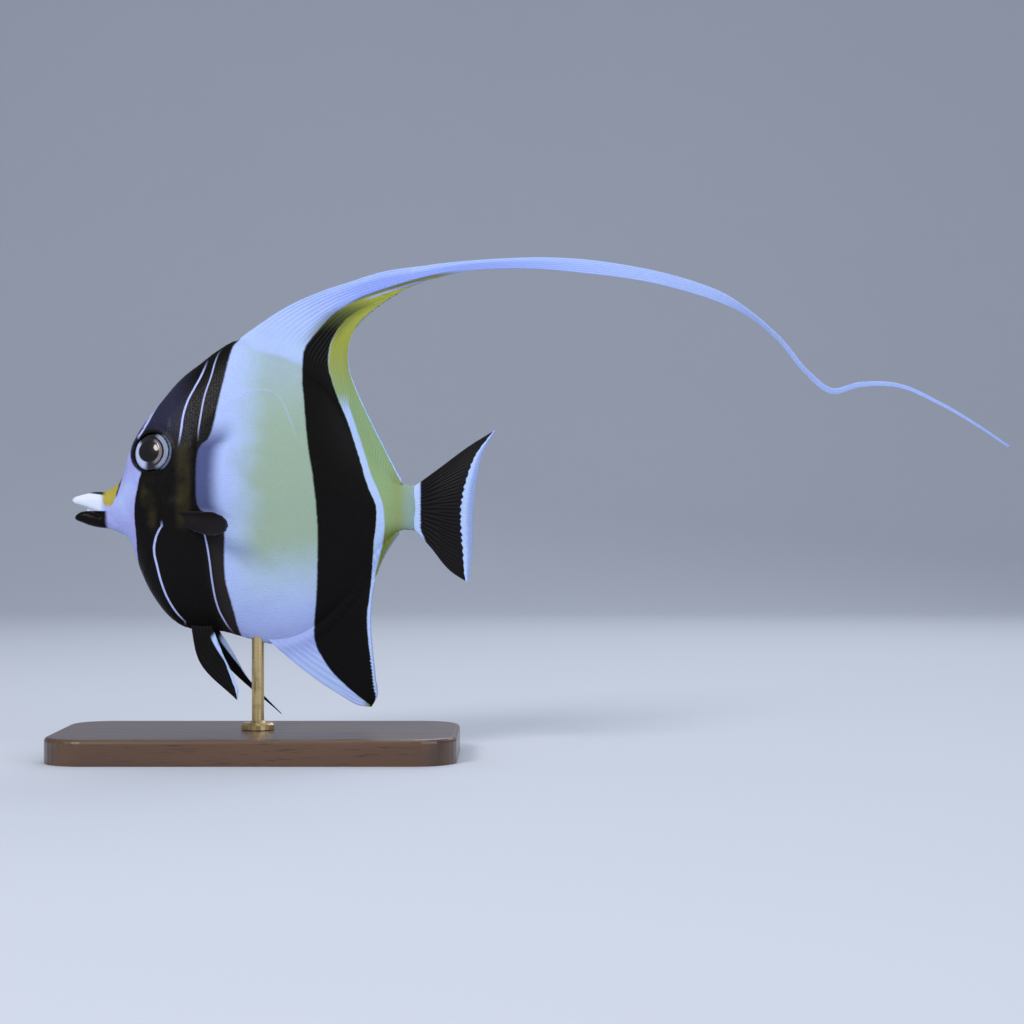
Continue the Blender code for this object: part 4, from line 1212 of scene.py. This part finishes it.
@dataclass(frozen=True)
class Rays:
    """How a fin's rays stand out of its membrane.

    Attributes:
        count: Rays across the fin.
        forks: Shares of the length where each ray parts in two.
        rise: How much a ray thickens the membrane at the root, in millimetres.
        tip_share: What share of the rise is left at the margin.
        columns_each: Columns of the fin's grid for each ray.
        start: Share of the length over which the rays come up out of the root.
        contrast: How much darker the membrane is between rays, 0 to 1.
    """

    count: int
    forks: tuple[float, ...] = ()
    rise: float = 0.45
    tip_share: float = 0.4
    columns_each: int = 10
    start: float = 0.2
    contrast: float = 1.0

    @property
    def columns(self) -> int:
        """Columns of the fin's grid."""
        return self.count * self.columns_each + 1

    def profile(self, rows: int) -> np.ndarray:
        """Ridge height from 0 to 1 over the fin's grid, shaped (columns, rows)."""
        along = np.linspace(0, 1, rows)[None, :]
        off = np.abs((np.linspace(0, self.count, self.columns)[:, None]) % 1.0 - 0.5)
        off = off + 0 * along
        width = np.full_like(off, 0.21)
        reach = 0.24
        for fork in self.forks:
            opened = eased((along - fork) / 0.3)
            off = np.abs(off - reach * opened)
            width = width * (1 - 0.42 * opened)
            reach /= 2
        return bell(off, width)

    def relief(self, rows: int) -> np.ndarray:
        """How much the rays thicken the fin, in millimetres."""
        along = np.linspace(0, 1, rows)[None, :]
        taper = self.tip_share + (1 - self.tip_share) * (1 - along) ** 1.4
        return self.rise * self.profile(rows) * taper * eased(along / self.start)

    def shade(self, rows: int) -> np.ndarray:
        """1 on a ray and at the root, and less between rays by the contrast."""
        along = np.linspace(0, 1, rows)[None, :]
        return 1 - self.contrast * eased(along / self.start) * (1 - self.profile(rows))

    def both(self, rows: int) -> tuple[np.ndarray, np.ndarray]:
        """The relief and the shade."""
        return self.relief(rows), self.shade(rows)


@dataclass(frozen=True)
class Membrane:
    """A fin as a membrane with rays, shaped from a grid and thickened to both sides.

    Attributes:
        grid: The fin's middle surface in millimetres, shaped (columns, rows, 3).
        relief: How much its rays thicken it, shaped (columns, rows).
        shade: What its finish reads as "ray", 1 on a ray and less between.
        flare: More thickness, such as at the root.
        close: What the whole thickness is multiplied by, to let an end run out thin.
        ragged: How uneven the margin is in millimetres, for each column or for all.
        margin_width: What the margin's width is multiplied by in each column.
    """

    name: str
    grid: np.ndarray
    relief: np.ndarray
    shade: np.ndarray
    root_thick: float = 1.5
    edge_thick: float = 0.35
    flare: np.ndarray | float = 0.0
    close: np.ndarray | float = 1.0
    ragged: np.ndarray | float = 0.25
    margin_width: np.ndarray | float = 1.0
    seed: int = 3

    def torn(self) -> np.ndarray:
        """The grid with a slightly uneven margin."""
        rng = np.random.default_rng(self.seed)
        columns, rows = self.grid.shape[:2]
        way = self.grid[:, -1] - self.grid[:, 0]
        way /= np.maximum(np.linalg.norm(way, axis=1, keepdims=True), 1e-9)
        rough = np.minimum(rng.uniform(-1, 0.8, columns // 5 + 3), 0)
        uneven = np.interp(np.linspace(0, len(rough) - 1, columns), np.arange(len(rough)), rough)
        pull = self.ragged * (0.6 * uneven - 0.6 * (1 - self.shade[:, -1]))
        near_edge = np.linspace(0, 1, rows)[None, :, None] ** 9
        return self.grid + way[:, None, :] * pull[:, None, None] * near_edge

    def build(self) -> bpy.types.Object:
        """Shapes the grid, gives it its thickness and keeps the numbers its finish reads."""
        grid = self.torn()
        columns, rows = grid.shape[:2]
        taper = np.linspace(1, 0, rows)[None, :] ** 1.4
        thick = self.edge_thick + (self.root_thick - self.edge_thick) * taper + self.flare
        thick = (thick + self.relief) * self.close
        piece = grid_piece(self.name, grid)
        lengths = np.linalg.norm(np.diff(grid, axis=1), axis=2)
        walk = np.concatenate([np.zeros((columns, 1)), np.cumsum(lengths, axis=1)], axis=1)
        width = np.reshape(self.margin_width * np.ones(columns), (columns, 1))
        keep_number(piece, "to_margin", ((walk[:, -1:] - walk) / width).T)
        keep_number(piece, "ray", self.shade.T)
        keep_number(piece, "across", (np.linspace(0, 1, columns)[:, None] + 0 * walk).T)
        keep_number(piece, "along", (np.linspace(0, 1, rows)[None, :] + 0 * walk).T)
        most = float(thick.max())
        group = piece.vertex_groups.new(name="thickness")
        for index, share in enumerate((thick / most).T.ravel()):
            group.add((index,), float(share), "REPLACE")
        apply_modifier(piece, "SOLIDIFY", thickness=most * MM, offset=0.0, vertex_group="thickness",
                       use_rim=True, use_quality_normals=True)
        piece.vertex_groups.clear()
        edit(piece, (bpy.ops.mesh.normals_make_consistent, {"inside": False}))
        return piece


def fin_grid(root: np.ndarray, margin: np.ndarray, lead: Sequence, trail: Sequence, rows: int,
             fade: float) -> np.ndarray:
    """Points of a fin's middle surface, its columns along the rays.

    Args:
        root: Where each column starts, shaped (columns, 3).
        margin: Where each column ends.
        lead: The line of the first ray.
        trail: The line of the last ray.
        rows: Points along a ray.
        fade: How quickly the bow of the end rays fades into the fin.

    Returns:
        The grid, shaped (columns, rows, 3).
    """
    leads, trails = smooth_line(lead, rows), smooth_line(trail, rows)
    down = np.linspace(0, 1, rows)[:, None]
    lead_bow = leads - (leads[0] + (leads[-1] - leads[0]) * down)
    trail_bow = trails - (trails[0] + (trails[-1] - trails[0]) * down)
    share = np.linspace(0, 1, len(root))[:, None, None]
    straight = root[:, None, :] + (margin - root)[:, None, :] * down[None]
    return straight + lead_bow[None] * (1 - share) ** fade + trail_bow[None] * share**fade


def upright(points: Sequence[Point2]) -> Line3:
    """Side-view points set in the middle plane."""
    return tuple((x, 0.0, z) for x, z in points)


def side_line(points: Line, count: int) -> np.ndarray:
    """Lays evenly spaced places on a side-view curve in the middle plane."""
    return smooth_line(upright(points), count)


def waved(grid: np.ndarray, depth: float, waves: float, phase: float) -> np.ndarray:
    """The grid with a gentle sideways wave that grows towards the margin.

    Args:
        grid: A fin's middle surface, shaped (columns, rows, 3).
        depth: How far the margin swings, in millimetres.
        waves: How many waves run across the fin.
        phase: Where the first one starts, in radians.

    Returns:
        The waved grid.
    """
    columns, rows = grid.shape[:2]
    across = np.linspace(0, 1, columns)[:, None]
    along = np.linspace(0, 1, rows)[None, :]
    shift = depth * np.sin(2 * math.pi * (waves * across + 0.35 * along) + phase) * along**1.5
    return grid + np.stack([0 * shift, shift, 0 * shift], axis=2)


@dataclass(frozen=True)
class Dorsal:
    """The dorsal fin: a swept crest of spines that runs out into the filament, and the soft rear."""

    body: Body
    finish: bpy.types.Material
    crest_root: Line = ((-12.5, 156.8), (-4.0, 155.6), (6.0, 151.4), (17.5, 147.5))
    lead: Line = (
        (-12.5, 156.8), (-7.2, 161.7), (-1.2, 166.3), (12.4, 175.1), (24.1, 180.3),
        (35.8, 184.2), (47.5, 187.9), (64.7, 190.6))
    split: Line = (
        (17.5, 147.5), (18.0, 157.4), (24.1, 165.9), (29.2, 171.2), (35.8, 175.7),
        (44.5, 179.2), (56.4, 181.1))
    tip: Line = ((64.7, 190.6), (65.7, 184.8), (61.4, 183.0), (56.4, 181.1))
    tip_shares: tuple[float, ...] = (0.0, 0.66, 0.84, 1.0)
    rear_root: Line = ((17.5, 147.5), (27.0, 138.3), (33.4, 129.6), (45.4, 111.4), (55.4, 103.0))
    rear_margin: Line = (
        (56.4, 181.1), (51.3, 178.0), (43.6, 172.3), (37.8, 165.8), (35.4, 159.0),
        (35.3, 151.9), (37.7, 144.1), (41.6, 135.6), (49.4, 120.0), (55.9, 107.4))
    crest_rays: Rays = Rays(11, (), 0.38, 0.75, 12, 0.5, 0.6)
    soft_rays: Rays = Rays(40, (0.45,), 0.3, 0.5, 10, 0.35, 0.4)
    margin_top: Point2 = (168.0, 162.0)
    torn_above: Point2 = (168.0, 173.0)
    wave: Point3 = (0.7, 1.6, 0.0)
    rows: int = 70

    def build(self) -> None:
        """Models the whole fin as one membrane and dresses it."""
        shares = np.linspace(0, 1, self.crest_rays.columns)
        tip = np.array(upright(self.tip))
        tip_ends = np.stack([np.interp(shares, self.tip_shares, column) for column in tip.T], axis=1)
        crest = fin_grid(side_line(self.crest_root, self.crest_rays.columns), tip_ends,
                         upright(self.lead), upright(self.split), self.rows, 1.0)
        soft = self.soft_rays.columns
        trail = (self.rear_root[-1], self.rear_margin[-1])
        rear = fin_grid(side_line(self.rear_root, soft), side_line(self.rear_margin, soft),
                        upright(self.split), upright(trail), self.rows, 3.5)
        wave = waved(rear, *self.wave)
        rear = wave - wave[:1] + rear[:1]
        grid = np.concatenate([crest[:-1], rear])
        relief, shade = (np.concatenate([crest_part[:-1], soft_part]) for crest_part, soft_part in
                         zip(self.crest_rays.both(self.rows), self.soft_rays.both(self.rows)))
        proud = grid[..., 2] - self.body.outline(self.body.back, grid)
        first = np.arange(len(grid)) < self.crest_rays.columns
        along = np.linspace(0, 1, self.rows)[None, :]
        margin_z = np.where(first, 200.0, grid[:, -1, 2])
        edged = eased((self.margin_top[0] - margin_z) / (self.margin_top[0] - self.margin_top[1]))
        torn = eased((margin_z - self.torn_above[0]) / (self.torn_above[1] - self.torn_above[0]))
        fin = Membrane("dorsal_fin_membrane", grid, relief, shade, root_thick=2.2,
                       flare=2.4 * bell(np.maximum(proud, 0), 4.0),
                       close=1 - 0.8 * first[:, None] * along**9
                       - 0.5 * eased((np.arange(len(grid)) / len(grid) - 0.93) / 0.06)[:, None],
                       ragged=np.where(first, 0.0, 0.25 + 2.2 * torn), margin_width=0.02 + edged)
        dress(fin.build(), self.finish, "fin_pale", "dorsal_fin", "dorsal_fin_middle",
              "dorsal_fin_rear")


@dataclass(frozen=True)
class Filament:
    """The long white filament that trails from the crest, a ribbon with lengthwise ridges."""

    finish: bpy.types.Material
    table: tuple[tuple[float, ...], ...] = (
        (44.0, 0.0, 183.2, 2.6, 0), (55.0, 0.0, 186.0, 4.2, 0), (65.3, 0.0, 187.7, 5.6, 0),
        (80.5, 0.3, 190.4, 3.9, 0), (94.1, 0.8, 191.4, 3.9, 0), (109.7, 1.2, 191.6, 4.6, 0),
        (125.3, 1.4, 190.6, 5.3, 0), (140.8, 1.2, 188.7, 5.1, 5),
        (154.4, 0.8, 186.2, 4.8, 10), (168.0, 0.0, 182.5, 4.6, 18), (179.7, -0.8, 178.2, 4.2, 28),
        (190.0, -1.4, 172.4, 3.5, 58), (203.1, -1.6, 161.3, 3.0, 66), (213.6, -1.0, 148.8, 2.7, 56),
        (223.3, 0.4, 141.8, 2.3, 30), (234.2, 1.6, 144.3, 2.0, 18), (249.7, 2.6, 144.0, 1.6, 10),
        (265.3, 3.0, 137.3, 1.3, 5), (280.9, 3.0, 128.2, 1.0, 0), (292.9, 2.8, 120.0, 0.8, 0))
    emerging: Point2 = (14.0, 23.0)
    columns: int = 57
    rows: int = 460
    ridge_count: int = 7

    def build(self) -> None:
        """Lays the ribbon along its curve and dresses it."""
        table = np.array(self.table)
        knots = walked(table[:, :3])
        grid = np.empty((self.columns, self.rows, 3))
        across_shares = np.linspace(0.5, -0.5, self.columns)
        for k, at in enumerate(np.linspace(0, knots[-1], self.rows)):
            centre = np.array([curve_at(knots, table[:, j], at) for j in range(3)])
            ahead = np.array([curve_at(knots, table[:, j], at + 0.5) for j in range(3)]) - centre
            ahead /= np.linalg.norm(ahead)
            width = float(curve_at(knots, table[:, 3], at))
            turn = math.radians(float(curve_at(knots, table[:, 4], at)))
            across = np.cross(ahead, (0, 1, 0))
            across /= np.linalg.norm(across)
            up = across * math.cos(turn) + np.cross(ahead, across) * math.sin(turn)
            grid[:, k] = centre + up[None] * (across_shares * width)[:, None]
        place = np.linspace(0, self.ridge_count, self.columns)[:, None] % 1.0 - 0.5
        ridges = bell(place, 0.22) + np.zeros((1, self.rows))
        lens = (1 - (2 * across_shares) ** 2)[:, None] * table[:, 3].max() * 0.05
        start, full = self.emerging
        out = eased((np.linspace(0, knots[-1], self.rows) - start) / (full - start))[None, :]
        ribbon = Membrane("dorsal_filament", grid, 0.16 * ridges, 0.4 + 0.6 * ridges, root_thick=0.6,
                          edge_thick=0.3, flare=lens, close=0.08 + 0.92 * out, ragged=0.0)
        dress(ribbon.build(), self.finish, "fin_pale", *(f"dorsal_streamer_{k}" for k in range(1, 6)))


@dataclass(frozen=True)
class Anal:
    """The anal fin, the dorsal's counterpart under the belly."""

    body: Body
    finish: bpy.types.Material
    root: Line = (
        (2.0, 47.6), (10.4, 47.4), (19.4, 50.2), (26.6, 56.2), (34.0, 64.6), (45.6, 82.8),
        (54.4, 89.6))
    lead: Line = (
        (2.0, 47.6), (6.8, 42.7), (14.4, 36.0), (24.1, 28.6), (31.9, 23.6), (39.7, 19.4),
        (44.2, 18.9))
    margin_span: Point2 = (64.0, 71.0)
    margin: Line = (
        (44.2, 18.9), (46.5, 22.8), (45.9, 30.6), (44.2, 55.8), (45.7, 68.0), (49.6, 78.2),
        (54.8, 86.4))
    rays: Rays = Rays(27, (0.5,), 0.3, 0.5, 13, 0.35, 0.55)
    wave: Point3 = (0.6, 1.2, 1.0)
    rows: int = 64

    def build(self) -> None:
        """Models the fin and dresses it."""
        count = self.rays.columns
        trail = (self.root[-1], self.margin[-1])
        grid = fin_grid(side_line(self.root, count), side_line(self.margin, count),
                        upright(self.lead), upright(trail), self.rows, 3.0)
        grid = waved(grid, *self.wave)
        proud = self.body.outline(self.body.belly, grid) - grid[..., 2]
        across = np.linspace(0, 1, count)
        low, high = self.margin_span
        edged = eased((across - 0.02) / 0.1) * eased((high - grid[:, -1, 2]) / (high - low))
        fin = Membrane("anal_fin_membrane", grid, *self.rays.both(self.rows), root_thick=2.2,
                       margin_width=0.04 + edged,
                       close=1 - 0.65 * eased((across - 0.8) / 0.18)[:, None],
                       flare=2.2 * bell(np.maximum(proud, 0), 3.5), seed=5)
        dress(fin.build(), self.finish, "fin_pale", "anal_fin")


@dataclass(frozen=True)
class Tail:
    """The caudal fin, black with a white margin and a clear outer edge."""

    finish: bpy.types.Material
    root: Line = ((60.8, 104.6), (60.8, 88.0))
    upper: Line = ((60.8, 104.6), (70.8, 112.0), (82.5, 120.6), (93.0, 127.0))
    lower: Line = ((60.8, 88.0), (66.9, 81.2), (74.7, 71.8), (82.1, 66.9))
    margin: Line = (
        (93.0, 127.0), (87.9, 118.4), (85.2, 107.2), (84.0, 95.5), (83.3, 79.0), (82.1, 66.9))
    rays: Rays = Rays(17, (0.22, 0.55), 0.45, 0.4, 18, 0.1)
    wave: Point3 = (0.9, 1.0, 0.6)
    rows: int = 70

    def build(self) -> None:
        """Models the fin and dresses it."""
        count = self.rays.columns
        grid = fin_grid(side_line(self.root, count), side_line(self.margin, count),
                        upright(self.upper), upright(self.lower), self.rows, 2.0)
        grid = waved(grid, *self.wave)
        near_wrist = bell(np.maximum(grid[..., 0] - 60.0, 0), 6.0)
        across = np.linspace(0, 1, count)
        round_wrist = np.sqrt(np.clip(1 - (2 * across - 1) ** 2, 0, 1))[:, None]
        fin = Membrane("caudal_fin_membrane", grid, *self.rays.both(self.rows), root_thick=1.3,
                       seed=8, ragged=0.35,
                       flare=4.0 * near_wrist * (0.25 + 0.75 * round_wrist),
                       margin_width=0.28 + 0.72 * np.sin(math.pi * across) ** 0.7)
        dress(fin.build(), self.finish, "fin_dark", "caudal_fin")


@dataclass(frozen=True)
class PairedFin:
    """A pectoral or pelvic fin.

    Attributes:
        node: The solid that it stands for.
        root: Points (x, y, z) along the root.
        tips: Points along the margin.
        bend: A point that the leading ray bows through, or None.
        mirrored: True to mirror the points to the other side.
        edge_from: Share across the fin from which its margin has its full width.
        ragged: How uneven its margin is, in millimetres.
    """

    node: str
    finish: bpy.types.Material
    root: Line3
    tips: Line3
    rays: Rays
    bend: Point3 | None = None
    mirrored: bool = False
    edge_from: float = 0.0
    ragged: float = 0.25
    rows: int = 56

    def build(self) -> None:
        """Models the fin and dresses it."""
        flip = np.array((1.0, -1.0 if self.mirrored else 1.0, 1.0))
        root, tips = np.array(self.root) * flip, np.array(self.tips) * flip
        lead = [root[0], tips[0]]
        if self.bend:
            lead.insert(1, np.array(self.bend) * flip)
        count = self.rays.columns
        grid = fin_grid(smooth_line(root, count), smooth_line(tips, count), lead,
                        (root[-1], tips[-1]), self.rows, 1.5)
        fin = Membrane(self.node + "_membrane", grid, *self.rays.both(self.rows), root_thick=1.1,
                       edge_thick=0.3, seed=11, ragged=self.ragged,
                       margin_width=0.05 + eased(np.linspace(0, 1, count) / max(self.edge_from, 1e-3)))
        dress(fin.build(), self.finish, "fin_dark", self.node)


PECTORAL_ROOT = ((-33.4, -7.2, 95.0), (-32.2, -7.4, 91.4))
PECTORAL_TIPS = (
    (-13.6, -31.0, 94.6), (-9.2, -30.5, 92.4), (-8.2, -28.2, 89.4), (-10.2, -24.8, 86.8),
    (-15.6, -21.2, 85.8), (-22.0, -18.0, 87.2))
LEFT_PELVIC_ROOT = ((-26.0, -1.6, 51.6), (-17.8, -1.6, 51.2))
LEFT_PELVIC_TIPS = ((-7.0, -9.2, 22.0), (-6.6, -9.0, 25.6), (-8.6, -8.0, 31.0), (-13.4, -6.0, 40.0))
LEFT_PELVIC_BEND = (-22.4, -4.6, 37.4)
RIGHT_PELVIC_ROOT = ((-25.0, 1.6, 51.6), (-16.8, 1.6, 51.2))
RIGHT_PELVIC_TIPS = ((8.4, 9.8, 15.2), (3.4, 9.2, 20.4), (-3.2, 8.0, 27.4), (-10.6, 5.8, 40.0))
RIGHT_PELVIC_BEND = (-13.6, 4.8, 35.6)


@dataclass(frozen=True)
class Fish:
    """The whole fish: skin, eyes and fins, with the finishes that they share."""

    body: Body = Body()
    markings: Markings = Markings()

    def build(self) -> None:
        """Builds and dresses every piece of the fish."""
        marks = self.markings.group()
        flesh = ("head", "upper_jaw", "lower_jaw", "trunk", "caudal_peduncle")
        skin, banded = self.body.build_skin(), SkinFinish("banded_skin", marks).build()
        dress(skin, banded, "skin", *flesh)
        for side in Side:
            ScaleCoat(self.body, skin).build(side, banded)
        wet = EyeFinish("wet_eye").build()
        for side, node in ((Side.LEFT, "eye_left"), (Side.RIGHT, "eye_right")):
            dress(self.body.build_eye(side, node + "_ball"), wet, "eye", node)
        pale = FinFinish("dorsal_membrane", marks, margin=1.3, notch=0.5, clear=0.6,
                         inner=((0.04, 0.09), (0.25, 0.2), (0.3, 0.75))).build()
        Dorsal(self.body, pale).build()
        Filament(FinFinish("filament_membrane", marks,
                           inner=((0.2, 0.45), (1.3, 1.2), (0.4, 0.12))).build()).build()
        Anal(self.body, FinFinish("anal_membrane", marks, margin=1.8, notch=0.8,
                                  clear=0.7).build()).build()
        Tail(FinFinish("tail_membrane", None, NIGHT, (0.014, 0.013, 0.015), margin=5.2, notch=0.6,
                       scallops=22, pale_root=63.3, clear=3.2, clear_alpha=0.45).build()).build()
        self.build_paired()

    def build_paired(self) -> None:
        """Builds the pectoral and pelvic fins."""
        brown = FinFinish("pectoral_membrane", None, (0.022, 0.018, 0.021), (0.012, 0.009, 0.009),
                          clear=1.0, clear_alpha=0.8, film=(0.05, 0.05, 0.09), gloss=0.05).build()
        dark = FinFinish("pelvic_membrane", None, NIGHT, (0.006, 0.006, 0.007), margin=2.8,
                         streak=(0.66, 0.74), gloss=0.05).build()
        pectoral, pelvic = Rays(17, (0.4,), 0.3, 0.4), Rays(6, (0.3, 0.6), 0.45, 0.4, 20)
        for side in Side:
            PairedFin(f"pectoral_fin_{side.name.lower()}", brown, PECTORAL_ROOT, PECTORAL_TIPS,
                      pectoral, mirrored=side is Side.RIGHT, ragged=0.9).build()
        PairedFin("pelvic_fin_left", dark, LEFT_PELVIC_ROOT, LEFT_PELVIC_TIPS, pelvic,
                  LEFT_PELVIC_BEND, edge_from=0.3).build()
        PairedFin("pelvic_fin_right", dark, RIGHT_PELVIC_ROOT, RIGHT_PELVIC_TIPS, pelvic,
                  RIGHT_PELVIC_BEND, edge_from=0.3).build()


@dataclass(frozen=True)
class Stand:
    """The plain display stand: a hardwood base and a brass rod."""

    wood: Finish = WoodFinish("stained_hardwood")
    brass: Finish = BrassFinish("satin_brass")

    def build(self) -> None:
        """Dresses the base and the rod, whose shapes the frame already has."""
        for node, finish in (("stand_base", self.wood), ("stand_rod", self.brass)):
            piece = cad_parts[node]
            material = finish.build()
            for slot in piece.material_slots:
                slot.material = material
            LOG.info("%s: finish %s", node, material.name)


@dataclass(frozen=True)
class Studio:
    """A pale floor that sweeps up behind, soft lamps and the camera.

    Attributes:
        paint: The floor's finish.
        lamps: Name, place, size, power and colour of each lamp, in metres and watts.
        lamps_aim: Where they all point, in metres.
        sky, sky_strength: The world's colour and strength.
        look_at: What the camera looks at.
        frame_width: Width of the picture at the fish, in millimetres.
        lens, sensor: The camera's focal length and sensor width.
        floor_near, floor_far, half_floor: Reach of the flat floor.
        sweep: Radius of the sweep.
        wall_height: Top of the backdrop.
    """

    paint: Finish = PaintFinish("floor_paint", (0.56, 0.60, 0.68))
    lamps: tuple[tuple[str, Point3, float, float, Colour], ...] = (
        ("key_lamp", (-0.7, -1.2, 1.0), 0.6, 16.0, (1.0, 0.99, 0.97)),
        ("fill_lamp", (1.1, -1.0, 0.6), 1.0, 5.5, (0.92, 0.96, 1.0)),
        ("top_lamp", (0.1, 0.3, 1.3), 1.0, 5.0, (0.97, 0.98, 1.0)),
        ("back_lamp", (0.4, 1.0, 0.9), 0.9, 4.0, (0.95, 0.97, 1.0)))
    lamps_aim: Point3 = (0.05, 0.0, 0.11)
    sky: Colour = (0.80, 0.86, 1.0)
    sky_strength: float = 0.36
    look_at: Point3 = (98.8, 0.0, 94.7)
    frame_width: float = 398.3
    lens: float = 85.0
    sensor: float = 36.0
    floor_near: float = 9000.0
    floor_far: float = 1300.0
    half_floor: float = 3000.0
    sweep: float = 900.0
    wall_height: float = 3000.0

    def build(self) -> None:
        """Builds the floor, the lamps and the camera."""
        self.build_floor()
        self.build_lamps()
        self.build_camera()

    def build_floor(self) -> None:
        """Models the floor with a soft sweep up into a backdrop."""
        flat = [(-self.floor_near, 0.0), (self.floor_far, 0.0)]
        turns = np.linspace(-math.pi / 2, 0.0, 33)[1:]
        sweep = [(self.floor_far + self.sweep * math.cos(turn), self.sweep * (1 + math.sin(turn)))
                 for turn in turns]
        profile = np.array([*flat, *sweep, (sweep[-1][0], self.wall_height)])
        across = np.linspace(-self.half_floor, self.half_floor, 9)
        points = np.array([[(x, y, z) for y, z in profile] for x in across])
        floor = grid_piece("floor", points)
        floor.data.shade_smooth()
        floor.data.materials.append(self.paint.build())

    def lamp(self, name: str, place: Point3, size: float, power: float, colour: Colour) -> None:
        """Adds a soft round lamp aimed at the fish, its size in metres and its power in watts."""
        lamp = added(bpy.ops.object.light_add, type="AREA", location=place)
        lamp.name = lamp.data.name = name
        lamp.data.shape, lamp.data.size = "DISK", size
        lamp.data.energy, lamp.data.color = power, colour
        way = Vector(self.lamps_aim) - Vector(place)
        lamp.rotation_euler = way.to_track_quat("-Z", "Y").to_euler()

    def build_lamps(self) -> None:
        """Adds the lamps and a pale world."""
        for lamp in self.lamps:
            self.lamp(*lamp)
        world = bpy.data.worlds.new("studio")
        world.use_nodes = True
        sky = world.node_tree.nodes["Background"].inputs
        sky["Color"].default_value = (*self.sky, 1.0)
        sky["Strength"].default_value = self.sky_strength
        bpy.context.scene.world = world

    def build_camera(self) -> None:
        """Sets the camera square to the fish's left side, as in the photograph."""
        distance = self.frame_width * MM * self.lens / self.sensor
        x, _, z = (part * MM for part in self.look_at)
        camera = added(bpy.ops.object.camera_add, location=(x, -distance, z),
                       rotation=(math.pi / 2, 0.0, 0.0))
        camera.name = "camera"
        camera.data.lens, camera.data.sensor_width = self.lens, self.sensor
        camera.data.clip_start = 0.01
        bpy.context.scene.camera = camera


def main() -> None:
    """Builds the fish, its stand and the studio."""
    logging.basicConfig(level=logging.INFO, format="%(message)s")
    bpy.context.scene.view_settings.view_transform = "Standard"
    Fish().build()
    Stand().build()
    Studio().build()


if __name__ == "__main__":
    main()
